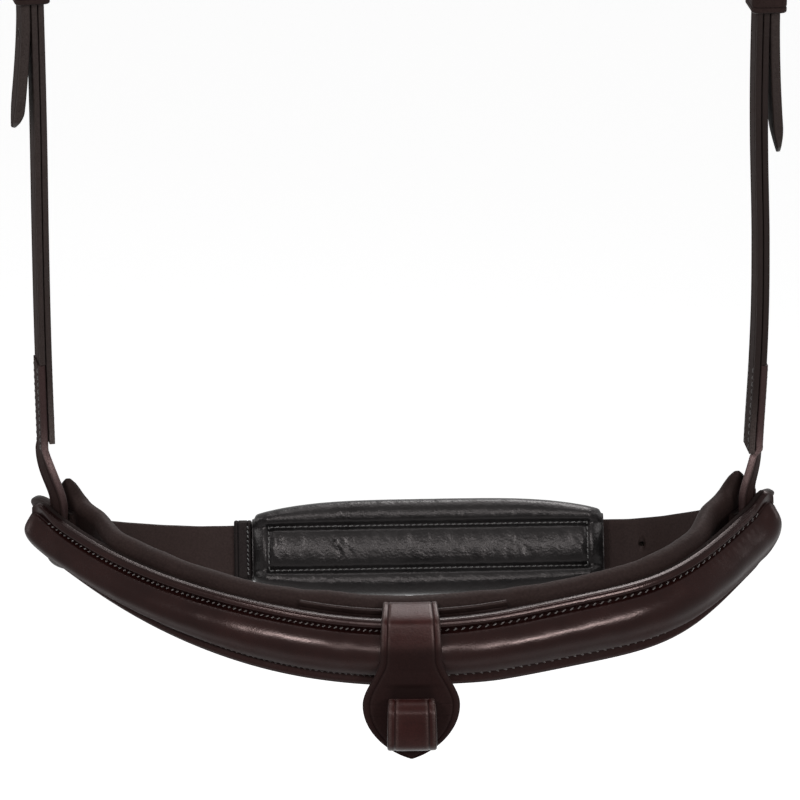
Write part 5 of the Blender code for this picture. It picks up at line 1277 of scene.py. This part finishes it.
def make_cheek(name, cheek):
    place, out, back = cheek_place(cheek)
    to_bar = bar_place(place)
    path = divide(CHEEK_BUCKLE.folded(CHEEK_FOOT + CHEEK_LAP + GAP - CHEEK_BAR,
                                      CHEEK_FOOT + cheek["lap_short"] - CHEEK_BAR), 0.003)
    # Lighter edges: wear, with painted light stronger on the left strap, and lighter towards the end of the
    # inner layer.
    strap = sweep(f"cheek_strap_{name}_leather", [to_bar(a, t, 0.0) for a, t in path],
                  [Z * d[0] + out * d[1] for d in left_normals(path)], CHEEK_WIDTH, CHEEK_LAYER,
                  CHEEK_LEATHER, "headstall", round_edge=0.00032, matt=0.85,
                  wear_and_painted_light=lambda u: cheek["rub_and_side_light"] + 0.25 * smooth(u, 0.93, 1.0))
    cut_slot(strap, CHEEK_BUCKLE, to_bar)
    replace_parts(strap, f"cheek_strap_{name}")
    make_buckle(f"cheek_{name}", CHEEK_BUCKLE, to_bar, back, "headstall", f"cheek_tongue_{name}")
    make_cheek_keeper(f"fixed_keeper_{name}", place, FIXED_KEEPER, "headstall")
    make_cheek_keeper(f"runner_keeper_{name}", place, RUNNERS[name], f"runner_{name}")
    make_hanger_loop(name, cheek, place, out)
    make_lap_stitches(name, place, out, cheek["lap_short"])


def make_cheek_keeper(name, place, height, body):
    middle = height + (KEEPER_HEIGHT + KEEPER_TRIM) / 2
    line = keeper_line(-HANGER_HALF, HANGER_HALF + GAP + BILLET_THICK, CHEEK_WIDTH, KEEPER_WALL, 0.0016)
    keeper = ring_strap(f"{name}_leather", [place(middle, t, w) for t, w in line], Z,
                        KEEPER_HEIGHT - KEEPER_TRIM, KEEPER_WALL, STRAP, body, matt=0.8)
    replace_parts(keeper, name)


def make_hanger_loop(name, cheek, place, out):
    """From the pocket in the noseband's end up to the lap on the cheek strap's inner layer."""
    s = cheek["side"] * (band_end(cheek["side"]) - LOOP_INSET)
    heights = (-0.0080, -0.0052, -0.0024, 0.0004, 0.0032, 0.0070, by_side(s, "height") / 2 + 0.001)
    points = [band_point(s, LOOP_N, h) for h in heights]
    outward = band_frame(s)[2]
    start, lap_foot = points[-1], place(CHEEK_FOOT - 0.001, LAP_T, 0.0)
    points += hermite(start, lap_foot, unit(start - points[-2]), Z, RISE_STEPS)
    normals = [outward] * len(heights)
    normals += [unit(mix(outward, out, cheek["turned"] * (k / RISE_STEPS) ** 1.1))
                for k in range(1, RISE_STEPS + 1)]
    points += [place(CHEEK_FOOT - 0.001 + (CHEEK_LAP + 0.001) * k / LAP_STEPS, LAP_T, 0.0)
               for k in range(1, LAP_STEPS + 1)]
    normals += [out] * LAP_STEPS
    widths = [mix(LOOP_NECK, CHEEK_WIDTH, smooth(k, 5, 27)) for k in range(len(points))]
    # Lighter edges: a little wear, and a painted highlight halfway along the loop.
    loop = sweep(f"hanger_loop_{name}_leather", points, normals, widths, LOOP_THICK, LOOP_LEATHER, None,
                 round_edge=0.0009, matt=1.0, wear_and_painted_light=lambda u: 0.08 + 0.62 * bump(u, 0.50, 0.12))
    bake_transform(loop)
    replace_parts(loop, f"hanger_loop_{name}")


def make_lap_stitches(name, place, out, short):
    """Two rows on each face of the lap, from the foot of that face's leather up."""
    heights = np.arange(CHEEK_FOOT + 0.002, CHEEK_FOOT + CHEEK_LAP - 0.001, LAP_PITCH)
    inner = (-HANGER_HALF, -out, heights[heights > CHEEK_FOOT + short + 0.001])
    outer = (LAP_T + LOOP_THICK / 2, out, heights)
    centres, ups = zip(*[(place(height, face_t, w), normal) for w in (-LAP_ROW, LAP_ROW)
                         for face_t, normal, places in (inner, outer) for height in places])
    stitch_row(f"lap_stitches_{name}", centres, Z, ups, LAP_THREAD, "headstall", length=0.0017,
               radius=THREAD_RADIUS, slant=18.0, sink=0.75)


# Headpiece

def arch_point(side, angle):
    centre_x = (CHEEKS["left"]["top"] - CHEEKS["right"]["top"]) / 2
    half_span = REACH - (CHEEKS["left"]["top"] + CHEEKS["right"]["top"]) / 2
    x = centre_x * math.cos(angle) + side * (half_span * math.cos(angle) + CROWN_HALF * math.sin(angle))
    return np.array([x, CHEEK_BACK, ARCH_FOOT + ARCH_RISE * math.sin(angle)])


def half_headpiece(cheek):
    """Points, outward directions, widths and thicknesses, from a tail's tip up to the poll."""
    place, out, _ = cheek_place(cheek)
    side, to_bar = cheek["side"], bar_place(place)
    tip = CHEEK_BAR - cheek["tail"]
    heights = np.concatenate([tip + np.array([0.0, 0.0004, 0.0009, 0.0016, 0.0025, 0.004, 0.006, 0.008]),
                              np.arange(tip + 0.010, ARCH_FOOT - 0.001, HEAD_STEP)])
    thicks = BILLET_THICK * mix(SKIVED_TIP, 1.0, smooth(heights - tip, -0.0015, cheek["skive"]))
    points = []
    for height, thick in zip(heights, thicks):
        a = height - CHEEK_BAR
        flare = cheek["flare"] * max(0.0, (RUNNERS["right"] - height) / (RUNNERS["right"] - tip)) ** 1.4
        flare += (BILLET_THICK - thick) / 2 * (side < 0)
        points.append(mix(to_bar(a, CHEEK_BUCKLE.billet_line(a) + flare, 0.0),
                          arch_point(side, 0.0) + Z * (height - ARCH_FOOT),
                          smooth(a, BAR_PITCH, ARCH_FOOT - CHEEK_BAR)))
    angles = np.linspace(0.0, math.pi / 2, 49)
    radial = [np.array([side * math.cos(angle), 0.0, math.sin(angle)]) for angle in angles]
    return (points + [arch_point(side, angle) for angle in angles],
            [out] * len(points) + [unit(mix(out, r, smooth(k, 0, 16))) for k, r in enumerate(radial)],
            [*tip_widths(heights - tip, CHEEK_WIDTH)] + [CHEEK_WIDTH] * len(angles),
            [*thicks] + [BILLET_THICK] * len(angles))


def make_headpiece():
    left, right = half_headpiece(CHEEKS["left"]), half_headpiece(CHEEKS["right"])
    # Lighter edges: wear, with painted light stronger on the left tail.
    strap = sweep("headpiece_leather", *(a + b[::-1] for a, b in zip(left, right)), CHEEK_LEATHER,
                  "headstall", step=HEAD_STEP, wear_and_painted_light=lambda u: 0.13 - 0.04 * u, matt=0.85)
    for cheek in CHEEKS.values():
        place, out, _ = cheek_place(cheek)
        centre = punch_tongue_hole(strap, CHEEK_BUCKLE, CHEEK_BUCKLE.billet_line, bar_place(place), Z, out)
        for k in (1, 2, -2.6):
            spot = bar_place(place)(centre + k * HOLE_PITCH, 0.0, 0.0)
            punch(strap, spot, Z, out, 2 * HOLE_RADIUS, 2 * HOLE_RADIUS, depth=0.012)
    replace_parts(strap, "headpiece_strap")


# Studio

FLOOR_HALF, FLOOR_LEVEL, FLOOR_GLOW, WORLD_LIGHT = 16.0, -1.70, 0.82, 0.15
# Each lamp's place, the place it faces, its power, width and height
LAMPS = {"key": ((0.10, -1.38, 0.42), (0.0, -0.02, -0.37), 9.0, 0.90, 0.24),
         "left": ((-0.74, -1.30, 0.70), (-0.04, -0.07, -0.37), 20.0, 0.40, 0.20),
         "right": ((0.74, -1.36, 0.21), (0.05, -0.07, -0.37), 14.0, 0.32, 0.18),
         "top": ((0.0, 0.25, 0.95), (0.0, 0.0, -0.33), 5.0, 0.9, 0.4),
         "left_side": ((-1.4, 0.20, 0.1), (0.0, 0.0, -0.25), 6.0, 0.5, 0.9),
         "right_side": ((1.4, 0.20, 0.1), (0.0, 0.0, -0.25), 6.0, 0.5, 0.9),
         "back": ((0.4, 1.15, 1.15), (0.0, 0.0, -0.25), 38.0, 0.9, 0.7)}
CAMERA_PLACE, CAMERA_TURN = (-0.001065, -1.40754, 0.18093), (math.radians(70.0), 0.0, 0.0)
CAMERA_LENS, CAMERA_SENSOR, CAMERA_CLIP = 190.14, 36.0, (0.05, 50.0)


def seen_ray(tree):
    """1 for the rays that show the background: straight to the camera, in a reflection or through glass."""
    path = add_node(tree, "ShaderNodeLightPath")
    seen = combine(tree, "MAXIMUM", path.outputs["Is Camera Ray"], path.outputs["Is Glossy Ray"])
    return combine(tree, "MAXIMUM", seen, path.outputs["Is Transmission Ray"])


def make_floor():
    mesh = bpy.data.meshes.new("floor")
    corners = [(x * FLOOR_HALF, y * FLOOR_HALF, FLOOR_LEVEL) for x, y in ((-1, -1), (1, -1), (1, 1), (-1, 1))]
    mesh.from_pydata(corners, [], [(0, 1, 2, 3)])
    floor = bpy.data.objects.new("floor", mesh)
    bpy.context.scene.collection.objects.link(floor)
    material, tree, shader = new_material("pale_floor")
    glow = combine(tree, "MULTIPLY", seen_ray(tree), FLOOR_GLOW)
    for key, value in {"Base Color": (0.80, 0.80, 0.80), "Roughness": 0.9, "Specular IOR Level": 0.1,
                       "Emission Color": (1.0, 1.0, 1.0), "Emission Strength": glow}.items():
        feed(tree, shader.inputs[key], value)
    mesh.materials.append(material)


def make_world():
    """White where it is seen, and weak as a light."""
    world = bpy.data.worlds.new("studio")
    bpy.context.scene.world = world
    world.use_nodes = True
    tree = world.node_tree
    soft, shown = (add_node(tree, "ShaderNodeBackground", {"Color": (1.0, 1.0, 1.0), "Strength": strength})
                   for strength in (WORLD_LIGHT, 1.0))
    both = add_node(tree, "ShaderNodeMixShader", {0: seen_ray(tree), 1: soft.outputs[0], 2: shown.outputs[0]})
    feed(tree, tree.nodes["World Output"].inputs["Surface"], both.outputs[0])


def make_lamp(name, place, target, energy, width, height):
    data = bpy.data.lights.new(name, "AREA")
    data.shape = "RECTANGLE"
    data.size, data.size_y, data.energy = width, height, energy
    lamp = bpy.data.objects.new(name, data)
    lamp.location = place
    lamp.rotation_euler = (Vector(target) - Vector(place)).to_track_quat("-Z", "Y").to_euler()
    bpy.context.scene.collection.objects.link(lamp)


def make_camera():
    data = bpy.data.cameras.new("camera")
    data.lens, data.sensor_width = CAMERA_LENS, CAMERA_SENSOR
    data.clip_start, data.clip_end = CAMERA_CLIP
    camera = bpy.data.objects.new("camera", data)
    camera.location, camera.rotation_euler = CAMERA_PLACE, CAMERA_TURN
    bpy.context.scene.collection.objects.link(camera)
    bpy.context.scene.camera = camera


# The whole bridle and its studio

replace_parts(make_face(), "noseband_face")
make_face_stitches()
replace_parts(make_backing(), "noseband_backing")
make_lining()
make_bridge_strip()
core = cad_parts["noseband_core"]
core.data.materials.clear()
core.data.materials.append(raw_leather("cord_core", (0.05, 0.04, 0.03), (0.16, 0.12, 0.08)))
make_flash()
make_chin_straps()
make_pad()
for cheek_name, cheek_line in CHEEKS.items():
    make_cheek(cheek_name, cheek_line)
make_headpiece()
make_floor()
make_world()
for lamp_name, lamp_values in LAMPS.items():
    make_lamp(lamp_name, *lamp_values)
make_camera()
bpy.context.scene.view_settings.view_transform = "Standard"
